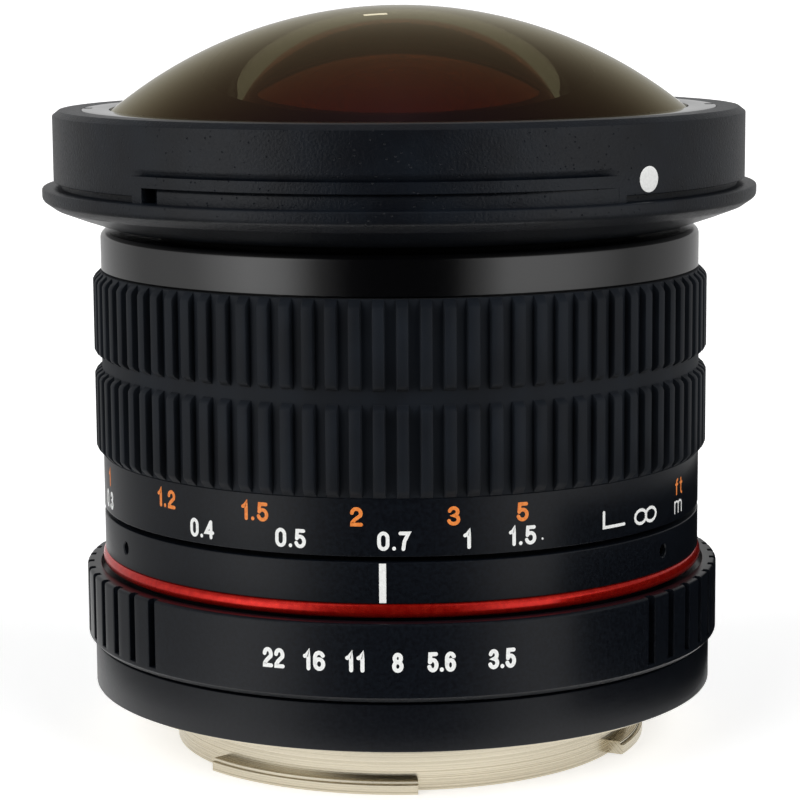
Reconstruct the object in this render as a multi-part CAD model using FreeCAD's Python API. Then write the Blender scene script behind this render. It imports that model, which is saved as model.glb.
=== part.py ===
import FreeCAD, Part
import math
import os

# Fisheye camera lens for a bayonet mount, standing on its mount with the domed glass up.
# The origin is the centre of the mount's seat face and +Z runs forward along the optical axis.
# Azimuths are in degrees: 0 faces -Y, where the index line is read, and 90 faces +X.

# Fits, and how far a cut runs past the face that it opens
running_gap = 0.06
seating_gap = 0.05
end_gap = 0.2
overrun = 1.0

# Heights of the outer rings, stacked forward from the seat face
flange_show = 0.7
rear_shell_height = 4.7
aperture_seam = 0.55
aperture_ring_height = 8.05
bead_gap = 0.1
bead_height = 1.5
index_band_height = 4.2
focus_seam = 0.55
scale_band_height = 5.9
grip_height = 19.85
collar_seam = 0.2
collar_height = 4.2
front_gap = 0.6

# Barrels one inside the other, from the clamped stack of cells outward
stack_radius = 20.0
cell_wall = 2.37
guide_wall = 1.5
fork_inner_gap = 1.3
fork_bar_thickness = 1.7
fork_outer_gap = 1.6
neck_wall = 1.4
skirt_step = 0.4
sleeve_wall = 1.76
band_step = 0.9
grip_floor_thickness = 0.85
rib_height = 0.8
collar_seat_step = 0.3
collar_thickness = 1.05
bead_seat_step = 1.2
bead_thickness = 1.4
bead_side_gap = 0.2
ring_wall = 1.57
shell_step = 0.75
shell_rim = 1.5
shell_edge = 0.5

# Bayonet mount
spigot_radius = 25.1
spigot_length = 5.9
throat_wall = 2.7
lug_reach = 1.7
lug_height = 1.4
lug_step_height = 0.35
lug_step_depth = 0.35
lug_starts = (-49.5, 62.0, 180.0)
lug_sweeps = (52.5, 52.0, 56.0)
lug_clearance = 0.3
seat_relief_depth = 0.3
flange_thickness = 2.0
throat_ledge_width = 0.9
throat_ledge_height = 0.7
mount_screw_azimuths = (45, 135, 225, 315)
lock_slot_azimuth = 150.0
lock_slot_width = 2.2
lock_slot_length = 2.6
lock_slot_depth = 1.2

# Small screws
screw_shank_radius = 0.85
screw_head_radius = 1.5
screw_head_height = 0.75
screw_recess = 0.05
screw_tip_gap = 0.3
cross_width = 0.45

# Light baffle in the throat
baffle_wall = 1.0
baffle_floor = 0.8
baffle_set_back = 0.6
baffle_window_width = 26.0
baffle_window_height = 20.0

# Fixed barrels
floor_thickness = 2.0
foot_thickness = 1.0
foot_width = 2.6
barrel_screw_azimuths = (0, 90, 180, 270)
set_screw_radius = 0.6
set_screw_length = 1.3
set_screw_recess = 0.35
set_screw_azimuths = (-63.5, 56.5, 176.5)
bead_edge = 0.3
guide_inset = 1.0
key_width = 3.0
key_height = 5.0
key_inset = 6.0
key_reach = 1.3
key_head_width = 5.0
key_head_thickness = 1.0
key_head_overlap = 1.0
key_azimuths = (90.0, 270.0)

# Focus travel from the pose in the photo, in degrees about the axis
focus_to_infinity = 54.5
focus_to_nearest = 69.1
travel_margin = 0.4
cell_travel = 0.25
stop_pin_radius = 0.7
stop_pin_reach = 1.0
stop_pin_inset = 2.65
stop_pin_azimuth = 30.0

# Focus ring
nut_wall = 3.56
nut_height = 4.7
collar_lip = 0.6
collar_lip_step = 0.8
collar_shoulder = 0.8
rib_count = 88
rib_chamfer = 0.8
waist_bottom = 9.4
waist_height = 1.3
waist_chamfer = 0.6

# Aperture ring, with its travel from the pose in the photo
aperture_to_open = 20.6
aperture_to_closed = 17.75
click_pitch = 3.55
ring_rim_width = 1.2
ring_recess_depth = 1.0
ring_hub_height = 4.5
ring_upper_chamfer = 0.35
grip_groove_width = 1.1
grip_groove_depth = 0.75
grip_groove_pitch = 6.0
grip_groove_first = 47.5
grip_groove_last = 311.5
grip_groove_end = 0.9
ball_radius = 0.9
ball_azimuth = 60.0
click_notch_depth = 0.3
leaf_thickness = 0.2
leaf_height = 1.4
leaf_sweep = 24.0

# Arm from the aperture ring to the iris
fork_azimuth = 180.0
fork_width = 5.0
fork_foot_height = 1.5
fork_notch_depth = 3.0
fork_screw_offsets = (-2.4, 2.4)
fork_screw_size = 0.6
tab_width = 1.8

# Lens cell
cell_lift = 1.0
plate_inset = 1.0
plate_thickness = 2.0
plate_lift = 0.4
key_track_margin = 1.5
cell_tube_wall = 2.5
cell_tube_end = 1.0
front_cell_land = 4.5
front_cell_flange = 1.2
front_cell_flange_width = 4.0
cup_wall = 2.0
cell_screw_bite = 1.5
cell_screw_azimuths = (0, 120, 240)
clamp_wall = 1.2
rear_cell_lift = 0.6
rear_cell_wall = 4.0
rear_cell_land = 5.0
rear_cell_lip = 0.8
rear_lock_height = 2.0
rear_lock_width = 4.0
notch_width = 1.6
notch_depth = 0.7
notch_reach = 1.0

# Front ring that the hood clips onto
front_neck_wall = 1.35
front_slope_reach = 3.05
front_slope_rise = 0.95
front_flare_rise = 1.75
front_flange_bottom = 2.65
front_flange_height = 1.45
hood_flange_step = 1.25
hood_flange_edge = 0.1
hood_seat_height = 7.65
front_rim_width = 3.1
front_chamfer_width = 0.7
front_chamfer_height = 0.55
front_ledge_width = 3.0
front_screw_bite = 2.0
front_screw_azimuths = (30, 90, 150, 210, 270, 330)
hood_channel_height = 1.5
hood_channel_depth = 0.4
hood_channel_start = -42.8
hood_channel_sweep = 77.6
lip_line_height = 0.25
lip_line_depth = 0.3
lip_line_drop = 1.05
lip_line_start = -44.7
lip_line_sweep = 79.3
lock_window_sweep = 2.6
lock_window_height = 1.75
lock_window_depth = 1.8
foot_line_height = 0.3
foot_line_start = 36.4
foot_line_sweep = 97.8

# Front glass
dome_curve_radius = 49.3
dome_edge_radius = 32.0
dome_edge_height = 4.0
dome_seat_depth = 4.9
dome_hollow_radius = 17.0
dome_hollow_curve = 18.0
front_seal_width = 0.95
front_seal_height = 1.0
retainer_land = 2.25
retainer_lip = 0.7
retainer_height = 1.8

# Second glass, in the cup of the front cell
second_radius = 16.5
second_seat_depth = 1.5
second_edge_height = 5.85
second_front_sag = 3.1
second_hollow_radius = 10.5
second_hollow_sag = 6.8
second_retainer_height = 0.5
second_retainer_lip = 0.9
cup_floor = 0.5

# Glasses of the front cell, from the second one back: edge heights, and how far faces bulge forward
middle_radius = 10.0
stop_width = 1.5
cup_floor_lip = 1.0
third_height = 4.7
third_front_sag = -0.8
third_rear_sag = 1.8
front_spacer_height = 1.8
fourth_height = 4.5
fourth_front_sag = 1.2
front_joint_sag = -2.0
fifth_height = 4.0
fifth_rear_sag = -0.9
group_ring_height = 1.5

# Glasses of the rear cell, from the iris back
rear_radius = 9.0
rear_lip_height = 2.0
sixth_height = 3.0
sixth_front_sag = 1.5
sixth_rear_sag = -1.0
middle_spacer_height = 1.5
seventh_height = 3.0
seventh_front_sag = -0.6
middle_joint_sag = 1.5
eighth_height = 2.0
eighth_rear_sag = -1.6
rear_spacer_height = 2.7
ninth_height = 4.3
ninth_front_sag = 0.9
rear_joint_sag = -1.8
tenth_height = 4.5
tenth_rear_sag = -0.5
rear_ring_height = 1.4

# Iris
iris_floor = 0.8
iris_wall = 2.1
pivot_inset = 3.9
blade_count = 6
blade_edge_inset = 1.4
blade_width = 4.8
blade_root_inset = 1.0
blade_sweep = 95.0
blade_thickness = 0.12
blade_pitch = 0.22
blade_first_gap = 0.1
blade_smallest_opening = 1.21
pivot_pin_radius = 0.45
drive_pin_radius = 0.4
drive_lever = 3.2
blade_pad_radius = 1.15
rotor_inset = 1.1
rotor_thickness = 0.6
rotor_gap = 0.18
iris_cover_thickness = 0.6
iris_cover_inset = 1.0

# Radii worked out from the chain of walls
cell_bore_radius = stack_radius + seating_gap
cell_radius = cell_bore_radius + cell_wall
guide_inner_radius = cell_radius + running_gap
guide_outer_radius = guide_inner_radius + guide_wall
fork_bar_inner_radius = guide_outer_radius + fork_inner_gap
fork_bar_outer_radius = fork_bar_inner_radius + fork_bar_thickness
neck_inner_radius = fork_bar_outer_radius + fork_outer_gap
neck_radius = neck_inner_radius + neck_wall
skirt_radius = neck_radius + skirt_step
foot_inner_radius = neck_inner_radius - foot_width
sleeve_bore_radius = neck_radius + running_gap
grip_seat_radius = sleeve_bore_radius + sleeve_wall
band_radius = grip_seat_radius + band_step
grip_floor_radius = grip_seat_radius + grip_floor_thickness
grip_rib_radius = grip_floor_radius + rib_height
collar_seat_radius = grip_seat_radius - collar_seat_step
collar_radius = collar_seat_radius + collar_thickness
nut_thread_radius = cell_radius + nut_wall
nut_inner_radius = nut_thread_radius + running_gap
collar_lip_radius = nut_inner_radius + collar_lip_step
bead_seat_radius = skirt_radius + bead_seat_step
bead_radius = bead_seat_radius + bead_thickness
ring_wall_inner_radius = bead_radius + bead_side_gap
aperture_ring_radius = ring_wall_inner_radius + ring_wall
rear_shell_radius = aperture_ring_radius - shell_step
seat_radius = rear_shell_radius - shell_rim
throat_radius = spigot_radius - throat_wall
lug_radius = spigot_radius + lug_reach
seat_relief_radius = lug_radius + lug_clearance
seat_middle_radius = (seat_relief_radius + seat_radius) / 2
plate_radius = collar_seat_radius - plate_inset
front_neck_radius = plate_radius + seating_gap + front_neck_wall
front_slope_radius = front_neck_radius + front_slope_reach
front_ring_bore = plate_radius - front_ledge_width
retainer_radius = dome_edge_radius + retainer_land
retainer_inner_radius = dome_edge_radius - retainer_lip
hood_seat_radius = retainer_radius + seating_gap + front_rim_width
hood_flange_radius = hood_seat_radius + hood_flange_step
front_cell_radius = middle_radius + cell_tube_wall
front_cell_flange_radius = stack_radius + front_cell_flange_width
cup_radius = second_radius + cup_wall
rear_cell_radius = rear_radius + rear_cell_wall
rear_lock_inner_radius = stack_radius - rear_lock_width
iris_bore_radius = stack_radius - iris_wall
blade_pivot_circle = iris_bore_radius - pivot_inset
blade_outer_radius = blade_pivot_circle - blade_edge_inset
blade_inner_radius = blade_outer_radius - blade_width
iris_window_radius = blade_inner_radius + end_gap
iris_cover_window = iris_window_radius + iris_cover_inset
rotor_inner_radius = blade_pivot_circle - rotor_inset

# Heights worked out from the stacks
rear_shell_bottom = flange_show
rear_shell_top = rear_shell_bottom + rear_shell_height
aperture_bottom = rear_shell_top + aperture_seam
aperture_top = aperture_bottom + aperture_ring_height
bead_bottom = aperture_top + bead_gap
bead_top = bead_bottom + bead_height
index_top = bead_top + index_band_height
scale_bottom = index_top + focus_seam
scale_top = scale_bottom + scale_band_height
grip_top = scale_top + grip_height
collar_bottom = grip_top + collar_seam
collar_top = collar_bottom + collar_height
sleeve_top = collar_top - collar_lip
nut_bottom = sleeve_top - nut_height
neck_top = nut_bottom - end_gap
guide_top = neck_top - guide_inset
key_bottom = guide_top - key_inset
front_bottom = collar_top + front_gap
plate_bottom = front_bottom + plate_lift
plate_top = plate_bottom + plate_thickness
floor_bottom = flange_thickness
floor_top = floor_bottom + floor_thickness
foot_top = floor_top + foot_thickness
index_foot_top = foot_top + foot_thickness
cell_bottom = floor_top + cell_lift
hood_flange_bottom = front_bottom + front_flange_bottom
hood_flange_top = hood_flange_bottom + front_flange_height
hood_seat_top = hood_flange_top + hood_seat_height
front_top = hood_seat_top + front_chamfer_height
dome_land = front_top - dome_seat_depth
dome_edge = dome_land + dome_edge_height
dome_centre = dome_edge - math.sqrt(dome_curve_radius ** 2 - dome_edge_radius ** 2)
retainer_bottom = front_top - retainer_height
seal_bottom = retainer_bottom - front_seal_height
flange_face = plate_top + front_cell_flange
second_land = plate_top - second_seat_depth
second_front_edge = second_land + second_edge_height
third_front_edge = second_land - cup_floor
third_rear_edge = third_front_edge - third_height
fourth_front_edge = third_rear_edge - front_spacer_height
front_joint_edge = fourth_front_edge - fourth_height
fifth_rear_edge = front_joint_edge - fifth_height
group_ring_bottom = fifth_rear_edge - group_ring_height
front_cell_bottom = group_ring_bottom - cell_tube_end
rear_cell_bottom = floor_top + rear_cell_lift
tenth_rear_edge = rear_cell_bottom + rear_ring_height
rear_joint_edge = tenth_rear_edge + tenth_height
ninth_front_edge = rear_joint_edge + ninth_height
eighth_rear_edge = ninth_front_edge + rear_spacer_height
middle_joint_edge = eighth_rear_edge + eighth_height
seventh_front_edge = middle_joint_edge + seventh_height
sixth_rear_edge = seventh_front_edge + middle_spacer_height
sixth_front_edge = sixth_rear_edge + sixth_height
iris_bottom = sixth_front_edge + rear_lip_height
lock_ring_top = iris_bottom - rear_cell_land
blades_bottom = iris_bottom + iris_floor + blade_first_gap
blades_top = blades_bottom + (blade_count - 1) * blade_pitch + blade_thickness
rotor_bottom = blades_top + rotor_gap
rotor_top = rotor_bottom + rotor_thickness
iris_top = rotor_top + end_gap
iris_cover_top = iris_top + iris_cover_thickness
recess_floor = aperture_top - ring_recess_depth
hub_bottom = recess_floor - ring_hub_height
fork_bottom = hub_bottom - fork_foot_height
ball_height = (hub_bottom + recess_floor) / 2
set_screw_height = (bead_top + index_top) / 2
stop_pin_height = scale_bottom + stop_pin_inset

# Travels worked out from the above
aperture_travel = aperture_to_open + aperture_to_closed
blade_throw = blade_inner_radius - blade_smallest_opening
blade_turn = math.degrees(2 * math.asin(blade_throw / (2 * blade_pivot_circle)))
blade_ratio = blade_turn / aperture_travel
fork_notch_width = tab_width + end_gap
tab_reach = fork_bar_outer_radius
tab_half_angle = math.degrees(tab_width / 2 / iris_bore_radius) + travel_margin
tab_room_bottom = rotor_bottom - 3 * end_gap
tab_room_top = rotor_top + end_gap
skirt_slot_half = math.degrees(fork_width / 2 / neck_inner_radius) + travel_margin

origin = FreeCAD.Vector(0, 0, 0)
optical_axis = FreeCAD.Vector(0, 0, 1)


def facing(shape, azimuth):
    """The shape, built along +X, turned about the axis to face an azimuth."""
    placed = shape.copy()
    placed.rotate(origin, optical_axis, azimuth - 90)
    return placed


def turned(outline, start=0.0, sweep=360.0):
    """Solid turned from corners of (radius, height). A pair of corners is an arc through the
    first of them to the second."""
    edges = []
    here = outline[0]
    for corner in outline[1:] + outline[:1]:
        route = corner if isinstance(corner[0], tuple) else (corner,)
        ends = [FreeCAD.Vector(radius, 0, height) for radius, height in (here,) + route]
        if len(ends) == 3:
            edges.append(Part.Arc(*ends).toShape())
        else:
            edges.append(Part.makeLine(*ends))
        here = route[-1]
    section = Part.Face(Part.Wire(edges))
    solid = section.revolve(origin, optical_axis, sweep)
    return facing(solid, start)


def band(inner, outer, bottom, top, start=0.0, sweep=360.0):
    """Ring of square section, or a sector of one."""
    return turned([(inner, bottom), (outer, bottom), (outer, top), (inner, top)], start, sweep)


def post(radius, bottom, top, x=0.0, y=0.0):
    """Cylinder standing along the axis."""
    return Part.makeCylinder(radius, top - bottom, FreeCAD.Vector(x, y, bottom))


def radial_pin(radius, inner, outer, height, azimuth):
    """Cylinder lying along a radius."""
    pin = Part.makeCylinder(radius, outer - inner, FreeCAD.Vector(inner, 0, height), FreeCAD.Vector(1, 0, 0))
    return facing(pin, azimuth)


def radial_block(inner, outer, width, bottom, top, azimuth):
    """Block that lies across a radius."""
    corner = FreeCAD.Vector(inner, -width / 2, bottom)
    return facing(Part.makeBox(outer - inner, width, top - bottom, corner), azimuth)


def round_the_axis(shape, count, first=0.0):
    """Copies of a shape, evenly spaced about the axis."""
    return [facing(shape, 90 + first + 360 * k / count) for k in range(count)]


def joined(solids):
    """One solid from several that touch or overlap."""
    return solids[0].fuse(solids[1:]).removeSplitter()


def screw(circle, seat, tip, azimuth, upward, size=1.0):
    """Countersunk screw whose head is let into a seat face, with a cross recess."""
    sense = 1 if upward else -1
    top = seat - sense * screw_recess
    head = size * screw_head_radius
    shank = size * screw_shank_radius
    slot = size * cross_width
    profile = [
        (0, 0),
        (head, 0),
        (shank, size * screw_head_height),
        (shank, abs(top - tip)),
        (0, abs(top - tip)),
    ]
    body = turned([(radius, top - sense * depth) for radius, depth in profile])
    for turn in (0, 90):
        bar = Part.makeBox(1.7 * head, slot, slot, FreeCAD.Vector(-0.85 * head, -slot / 2, top - slot / 2))
        bar.rotate(origin, optical_axis, turn)
        body = body.cut(bar)
    body.translate(FreeCAD.Vector(circle, 0, 0))
    return facing(body, azimuth)


def screw_hole(circle, seat, tip, azimuth, upward, size=1.0):
    """Hole for that screw: a countersink open at the seat and a bore past the tip."""
    sense = 1 if upward else -1
    head = size * screw_head_radius + seating_gap
    bore = size * screw_shank_radius + seating_gap
    sink = screw_recess + size * screw_head_height
    end = abs(seat - tip) + seating_gap
    profile = [(0, -overrun), (head, -overrun), (head, screw_recess), (bore, sink), (bore, end), (0, end)]
    hole = turned([(radius, seat - sense * depth) for radius, depth in profile])
    hole.translate(FreeCAD.Vector(circle, 0, 0))
    return facing(hole, azimuth)


def screw_set(circle, seat, tip, azimuths, upward, size=1.0):
    """Screws on a circle, and their holes."""
    screws = [screw(circle, seat, tip, azimuth, upward, size) for azimuth in azimuths]
    holes = [screw_hole(circle, seat, tip, azimuth, upward, size) for azimuth in azimuths]
    return Part.makeCompound(screws), Part.makeCompound(holes)


def glass(radius, rear_edge, rear_sag, front_edge, front_sag, hollow=None):
    """Lens element. A sag is how far the middle of a face stands forward of its edge; a hollow
    is the radius of a concave rear face inside a flat land."""
    rear = hollow or radius

    def through(edge_radius, edge, sag):
        half = edge_radius / 2
        curve = (edge_radius ** 2 + sag ** 2) / (2 * abs(sag))
        drop = curve - math.sqrt(curve ** 2 - half ** 2)
        return (half, edge + sag - math.copysign(drop, sag))

    outline = [
        (0, rear_edge + rear_sag),
        (through(rear, rear_edge, rear_sag), (rear, rear_edge)),
        (radius, rear_edge),
        (radius, front_edge),
        (through(radius, front_edge, front_sag), (0, front_edge + front_sag)),
    ]
    if not hollow:
        outline.pop(2)
    return turned(outline)


def slot_along(points, half_width, bottom, top):
    """Slot that follows the arc through three points, with round ends."""
    arc = Part.Arc(*points).toShape().Curve
    centre = arc.Center
    first, middle, last = [(point - centre).normalize() for point in points]
    inner, outer = arc.Radius - half_width, arc.Radius + half_width
    side = 1 if first.cross(last).z > 0 else -1
    before = optical_axis.cross(first) * -side * half_width
    after = optical_axis.cross(last) * side * half_width
    edges = [
        Part.Arc(centre + first * outer, centre + middle * outer, centre + last * outer),
        Part.Arc(centre + last * outer, points[2] + after, centre + last * inner),
        Part.Arc(centre + last * inner, centre + middle * inner, centre + first * inner),
        Part.Arc(centre + first * inner, points[0] + before, centre + first * outer),
    ]
    slot = Part.Face(Part.Wire([edge.toShape() for edge in edges]))
    slot.translate(FreeCAD.Vector(0, 0, bottom))
    return slot.extrude(FreeCAD.Vector(0, 0, top - bottom))


# Mount: a turned ring with its seat flange, three lugs, a lock slot and four screws
mount_screws, mount_screw_holes = screw_set(
    seat_middle_radius, 0.0, floor_top - seating_gap, mount_screw_azimuths, False
)


def mount_ring():
    ring = turned([
        (throat_radius, -spigot_length),
        (spigot_radius, -spigot_length),
        (spigot_radius, seat_relief_depth),
        (seat_relief_radius, seat_relief_depth),
        (seat_relief_radius, 0),
        (seat_radius, 0),
        (seat_radius, flange_thickness),
        (throat_radius - throat_ledge_width, flange_thickness),
        (throat_radius - throat_ledge_width, flange_thickness - throat_ledge_height),
        (throat_radius, flange_thickness - throat_ledge_height),
    ])
    root = (throat_radius + spigot_radius) / 2
    lug_top = lug_height - spigot_length
    lugs = []
    for start, sweep in zip(lug_starts, lug_sweeps):
        lugs.append(turned([
            (root, -spigot_length),
            (lug_radius, -spigot_length),
            (lug_radius, lug_top - lug_step_height),
            (lug_radius - lug_step_depth, lug_top - lug_step_height),
            (lug_radius - lug_step_depth, lug_top),
            (root, lug_top),
        ], start, sweep))
    ring = joined([ring] + lugs)
    slot_inner = seat_middle_radius - lock_slot_length / 2
    slot_outer = seat_middle_radius + lock_slot_length / 2
    slot = radial_block(
        slot_inner, slot_outer, lock_slot_width, -overrun, lock_slot_depth, lock_slot_azimuth
    )
    return ring.cut([slot, mount_screw_holes])


def rear_baffle():
    outer = throat_radius - seating_gap
    rear = baffle_set_back - spigot_length
    front = flange_thickness - throat_ledge_height
    cup = turned([
        (0, rear),
        (outer, rear),
        (outer, front),
        (outer - baffle_wall, front),
        (outer - baffle_wall, rear + baffle_floor),
        (0, rear + baffle_floor),
    ])
    window = Part.makeBox(
        baffle_window_width, baffle_window_height, 3 * baffle_floor,
        FreeCAD.Vector(-baffle_window_width / 2, -baffle_window_height / 2, rear - baffle_floor),
    )
    return cup.cut(window)


# Rear shell and the two fixed barrels, with the screws that hold them together
barrel_screws, barrel_screw_holes = screw_set(
    (foot_inner_radius + neck_inner_radius) / 2, index_foot_top, floor_bottom + screw_tip_gap,
    barrel_screw_azimuths, True,
)


def rear_shell():
    shell_lip = skirt_radius + end_gap
    soft = shell_edge * (1 - math.sqrt(0.5))
    shell = turned([
        (guide_inner_radius, floor_bottom),
        (seat_radius + seating_gap, floor_bottom),
        (seat_radius + seating_gap, rear_shell_bottom),
        (rear_shell_radius - shell_edge, rear_shell_bottom),
        (
            (rear_shell_radius - soft, rear_shell_bottom + soft),
            (rear_shell_radius, rear_shell_bottom + shell_edge),
        ),
        (rear_shell_radius, rear_shell_top),
        (shell_lip, rear_shell_top),
        (shell_lip, floor_top),
        (guide_inner_radius, floor_top),
    ])
    return shell.cut([barrel_screw_holes, mount_screw_holes])


def fork_sector(inner, outer, bottom, top, half_angle):
    """Room that a piece on the aperture ring sweeps, as a sector of a ring."""
    start = fork_azimuth - aperture_to_open - half_angle
    return band(inner, outer, bottom, top, start, aperture_travel + 2 * half_angle)


def guide_barrel():
    barrel = turned([
        (guide_inner_radius, floor_top),
        (neck_inner_radius - seating_gap, floor_top),
        (neck_inner_radius - seating_gap, foot_top),
        (guide_outer_radius, foot_top),
        (guide_outer_radius, guide_top),
        (guide_inner_radius, guide_top),
    ])
    room = fork_sector(
        guide_inner_radius - overrun, guide_outer_radius + overrun,
        tab_room_bottom - cell_travel, tab_room_top + cell_travel, tab_half_angle,
    )
    windows = [
        radial_block(
            guide_inner_radius - overrun, guide_outer_radius + overrun, key_width + seating_gap,
            key_bottom - seating_gap, key_bottom + key_height + seating_gap, azimuth,
        )
        for azimuth in key_azimuths
    ]
    return barrel.cut([room, barrel_screw_holes] + windows)


def guide_keys():
    keys = []
    for azimuth in key_azimuths:
        tongue = radial_block(
            guide_inner_radius - key_reach, guide_outer_radius + key_head_thickness / 2, key_width,
            key_bottom, key_bottom + key_height, azimuth,
        )
        head = radial_block(
            guide_outer_radius + seating_gap, guide_outer_radius + key_head_thickness, key_head_width,
            key_bottom - key_head_overlap, key_bottom + key_height, azimuth,
        )
        keys.append(joined([tongue, head]))
    return Part.makeCompound(keys)


def set_screws():
    outer = band_radius - set_screw_recess
    return Part.makeCompound([
        radial_pin(set_screw_radius, outer - set_screw_length, outer, set_screw_height, azimuth)
        for azimuth in set_screw_azimuths
    ])


def index_barrel():
    barrel = turned([
        (foot_inner_radius, foot_top),
        (neck_inner_radius, foot_top),
        (neck_inner_radius, floor_top),
        (skirt_radius, floor_top),
        (skirt_radius, bead_bottom),
        (bead_seat_radius, bead_bottom),
        (bead_seat_radius, bead_top),
        (band_radius, bead_top),
        (band_radius, index_top),
        (neck_radius, index_top),
        (neck_radius, neck_top),
        (neck_inner_radius, neck_top),
        (neck_inner_radius, index_foot_top),
        (foot_inner_radius, index_foot_top),
    ])
    room = fork_sector(
        neck_inner_radius - overrun, skirt_radius + overrun, fork_bottom - end_gap,
        fork_bottom + fork_foot_height + end_gap, skirt_slot_half,
    )
    screw_bores = [
        radial_pin(
            set_screw_radius + seating_gap, band_radius - set_screw_recess - set_screw_length - seating_gap,
            band_radius + overrun, set_screw_height, azimuth,
        )
        for azimuth in set_screw_azimuths
    ]
    ball_bore = radial_pin(
        ball_radius + seating_gap, neck_inner_radius - overrun, skirt_radius + overrun,
        ball_height, ball_azimuth,
    )
    pin_bore = radial_pin(
        stop_pin_radius, neck_inner_radius - overrun, neck_radius + overrun,
        stop_pin_height, stop_pin_azimuth,
    )
    return barrel.cut([room, barrel_screw_holes, ball_bore, pin_bore] + screw_bores)


def red_ring():
    return turned([
        (bead_seat_radius, bead_bottom),
        (bead_radius - bead_edge, bead_bottom),
        ((bead_radius, (bead_bottom + bead_top) / 2), (bead_radius - bead_edge, bead_top)),
        (bead_seat_radius, bead_top),
    ])


def detent_ball():
    centre = skirt_radius + running_gap / 2 - ball_radius
    ball = Part.makeSphere(ball_radius)
    ball.translate(FreeCAD.Vector(centre, 0, ball_height))
    return facing(ball, ball_azimuth)


def detent_spring():
    outer = skirt_radius - 2 * ball_radius
    return band(
        outer - leaf_thickness, outer, ball_height - leaf_height / 2, ball_height + leaf_height / 2,
        ball_azimuth - leaf_sweep / 2, leaf_sweep,
    )


def focus_stop_pin():
    return radial_pin(
        stop_pin_radius, neck_inner_radius, neck_radius + stop_pin_reach, stop_pin_height, stop_pin_azimuth
    )


# Focus ring: the sleeve with its scale band and helicoid nut, the ribbed grip and the collar
def focus_sleeve():
    sleeve = turned([
        (sleeve_bore_radius, scale_bottom),
        (band_radius, scale_bottom),
        (band_radius, scale_top),
        (grip_seat_radius, scale_top),
        (grip_seat_radius, grip_top),
        (collar_seat_radius, grip_top),
        (collar_seat_radius, sleeve_top),
        (nut_inner_radius, sleeve_top),
        (nut_inner_radius, nut_bottom),
        (sleeve_bore_radius, nut_bottom),
    ])
    pin_half = math.degrees(stop_pin_radius / neck_radius) + travel_margin
    groove = band(
        neck_radius - overrun, neck_radius + stop_pin_reach + end_gap,
        stop_pin_height - stop_pin_radius - end_gap, stop_pin_height + stop_pin_radius + end_gap,
        stop_pin_azimuth - focus_to_nearest - pin_half,
        focus_to_infinity + focus_to_nearest + 2 * pin_half,
    )
    return sleeve.cut(groove)


def rubber_grip():
    waist_low = scale_top + waist_bottom
    waist_high = waist_low + waist_height
    blank = turned([
        (grip_seat_radius, scale_top),
        (grip_floor_radius, scale_top),
        (grip_rib_radius, scale_top + rib_chamfer),
        (grip_rib_radius, waist_low - waist_chamfer),
        (grip_floor_radius, waist_low),
        (grip_floor_radius, waist_high),
        (grip_rib_radius, waist_high + waist_chamfer),
        (grip_rib_radius, grip_top - rib_chamfer),
        (grip_floor_radius, grip_top),
        (grip_seat_radius, grip_top),
    ])
    groove_width = math.pi * grip_rib_radius / rib_count
    half_pitch = 180 / rib_count
    groove = radial_block(
        grip_floor_radius, grip_rib_radius + overrun, groove_width,
        scale_top - overrun, grip_top + overrun, 0,
    )
    return blank.cut(round_the_axis(groove, rib_count, half_pitch))


def front_collar():
    shoulder = collar_shoulder * (1 - math.sqrt(0.5))
    return turned([
        (collar_seat_radius, collar_bottom),
        (collar_radius, collar_bottom),
        (collar_radius, collar_top - collar_shoulder),
        (
            (collar_radius - shoulder, collar_top - shoulder),
            (collar_radius - collar_shoulder, collar_top),
        ),
        (collar_lip_radius, collar_top),
        (collar_lip_radius, sleeve_top),
        (collar_seat_radius, sleeve_top),
    ])


# Aperture ring with its grip grooves and click notches, and the arm screwed under its hub
fork_screw_circle = (skirt_radius + ring_wall_inner_radius) / 2
fork_screws, fork_screw_holes = screw_set(
    fork_screw_circle, fork_bottom, fork_bottom + 2 * fork_foot_height,
    [fork_azimuth + offset for offset in fork_screw_offsets], False, fork_screw_size,
)


def aperture_ring():
    bore = skirt_radius + running_gap
    rim_outer = aperture_ring_radius - ring_upper_chamfer
    ring = turned([
        (ring_wall_inner_radius, aperture_bottom),
        (rear_shell_radius, aperture_bottom),
        (aperture_ring_radius, aperture_bottom + shell_step),
        (aperture_ring_radius, aperture_top - ring_upper_chamfer),
        (rim_outer, aperture_top),
        (rim_outer - ring_rim_width, aperture_top),
        (rim_outer - ring_rim_width, recess_floor),
        (bore, recess_floor),
        (bore, hub_bottom),
        (ring_wall_inner_radius, hub_bottom),
    ])
    grooves = []
    azimuth = grip_groove_first
    while azimuth <= grip_groove_last:
        grooves.append(radial_block(
            aperture_ring_radius - grip_groove_depth, aperture_ring_radius + overrun, grip_groove_width,
            aperture_bottom + grip_groove_end, aperture_top + overrun, azimuth,
        ))
        azimuth += grip_groove_pitch
    stops = round(aperture_to_closed / click_pitch)
    clicks = [-aperture_to_open] + [k * click_pitch for k in range(-stops, stops + 1)]
    notches = [
        radial_pin(
            ball_radius / 2, bore - overrun, bore + click_notch_depth, ball_height, ball_azimuth - click
        )
        for click in clicks
    ]
    return ring.cut(grooves + notches + [fork_screw_holes])


def aperture_fork():
    foot = radial_block(
        fork_bar_inner_radius, ring_wall_inner_radius - end_gap, fork_width,
        fork_bottom, fork_bottom + fork_foot_height, fork_azimuth,
    )
    bar_top = rotor_top + fork_notch_depth / 2
    bar = radial_block(
        fork_bar_inner_radius, fork_bar_outer_radius, fork_width,
        fork_bottom, bar_top, fork_azimuth,
    )
    notch = radial_block(
        fork_bar_inner_radius - overrun, fork_bar_outer_radius + overrun, fork_notch_width,
        bar_top - fork_notch_depth, bar_top + overrun, fork_azimuth,
    )
    return joined([foot, bar]).cut([notch, fork_screw_holes])


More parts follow.
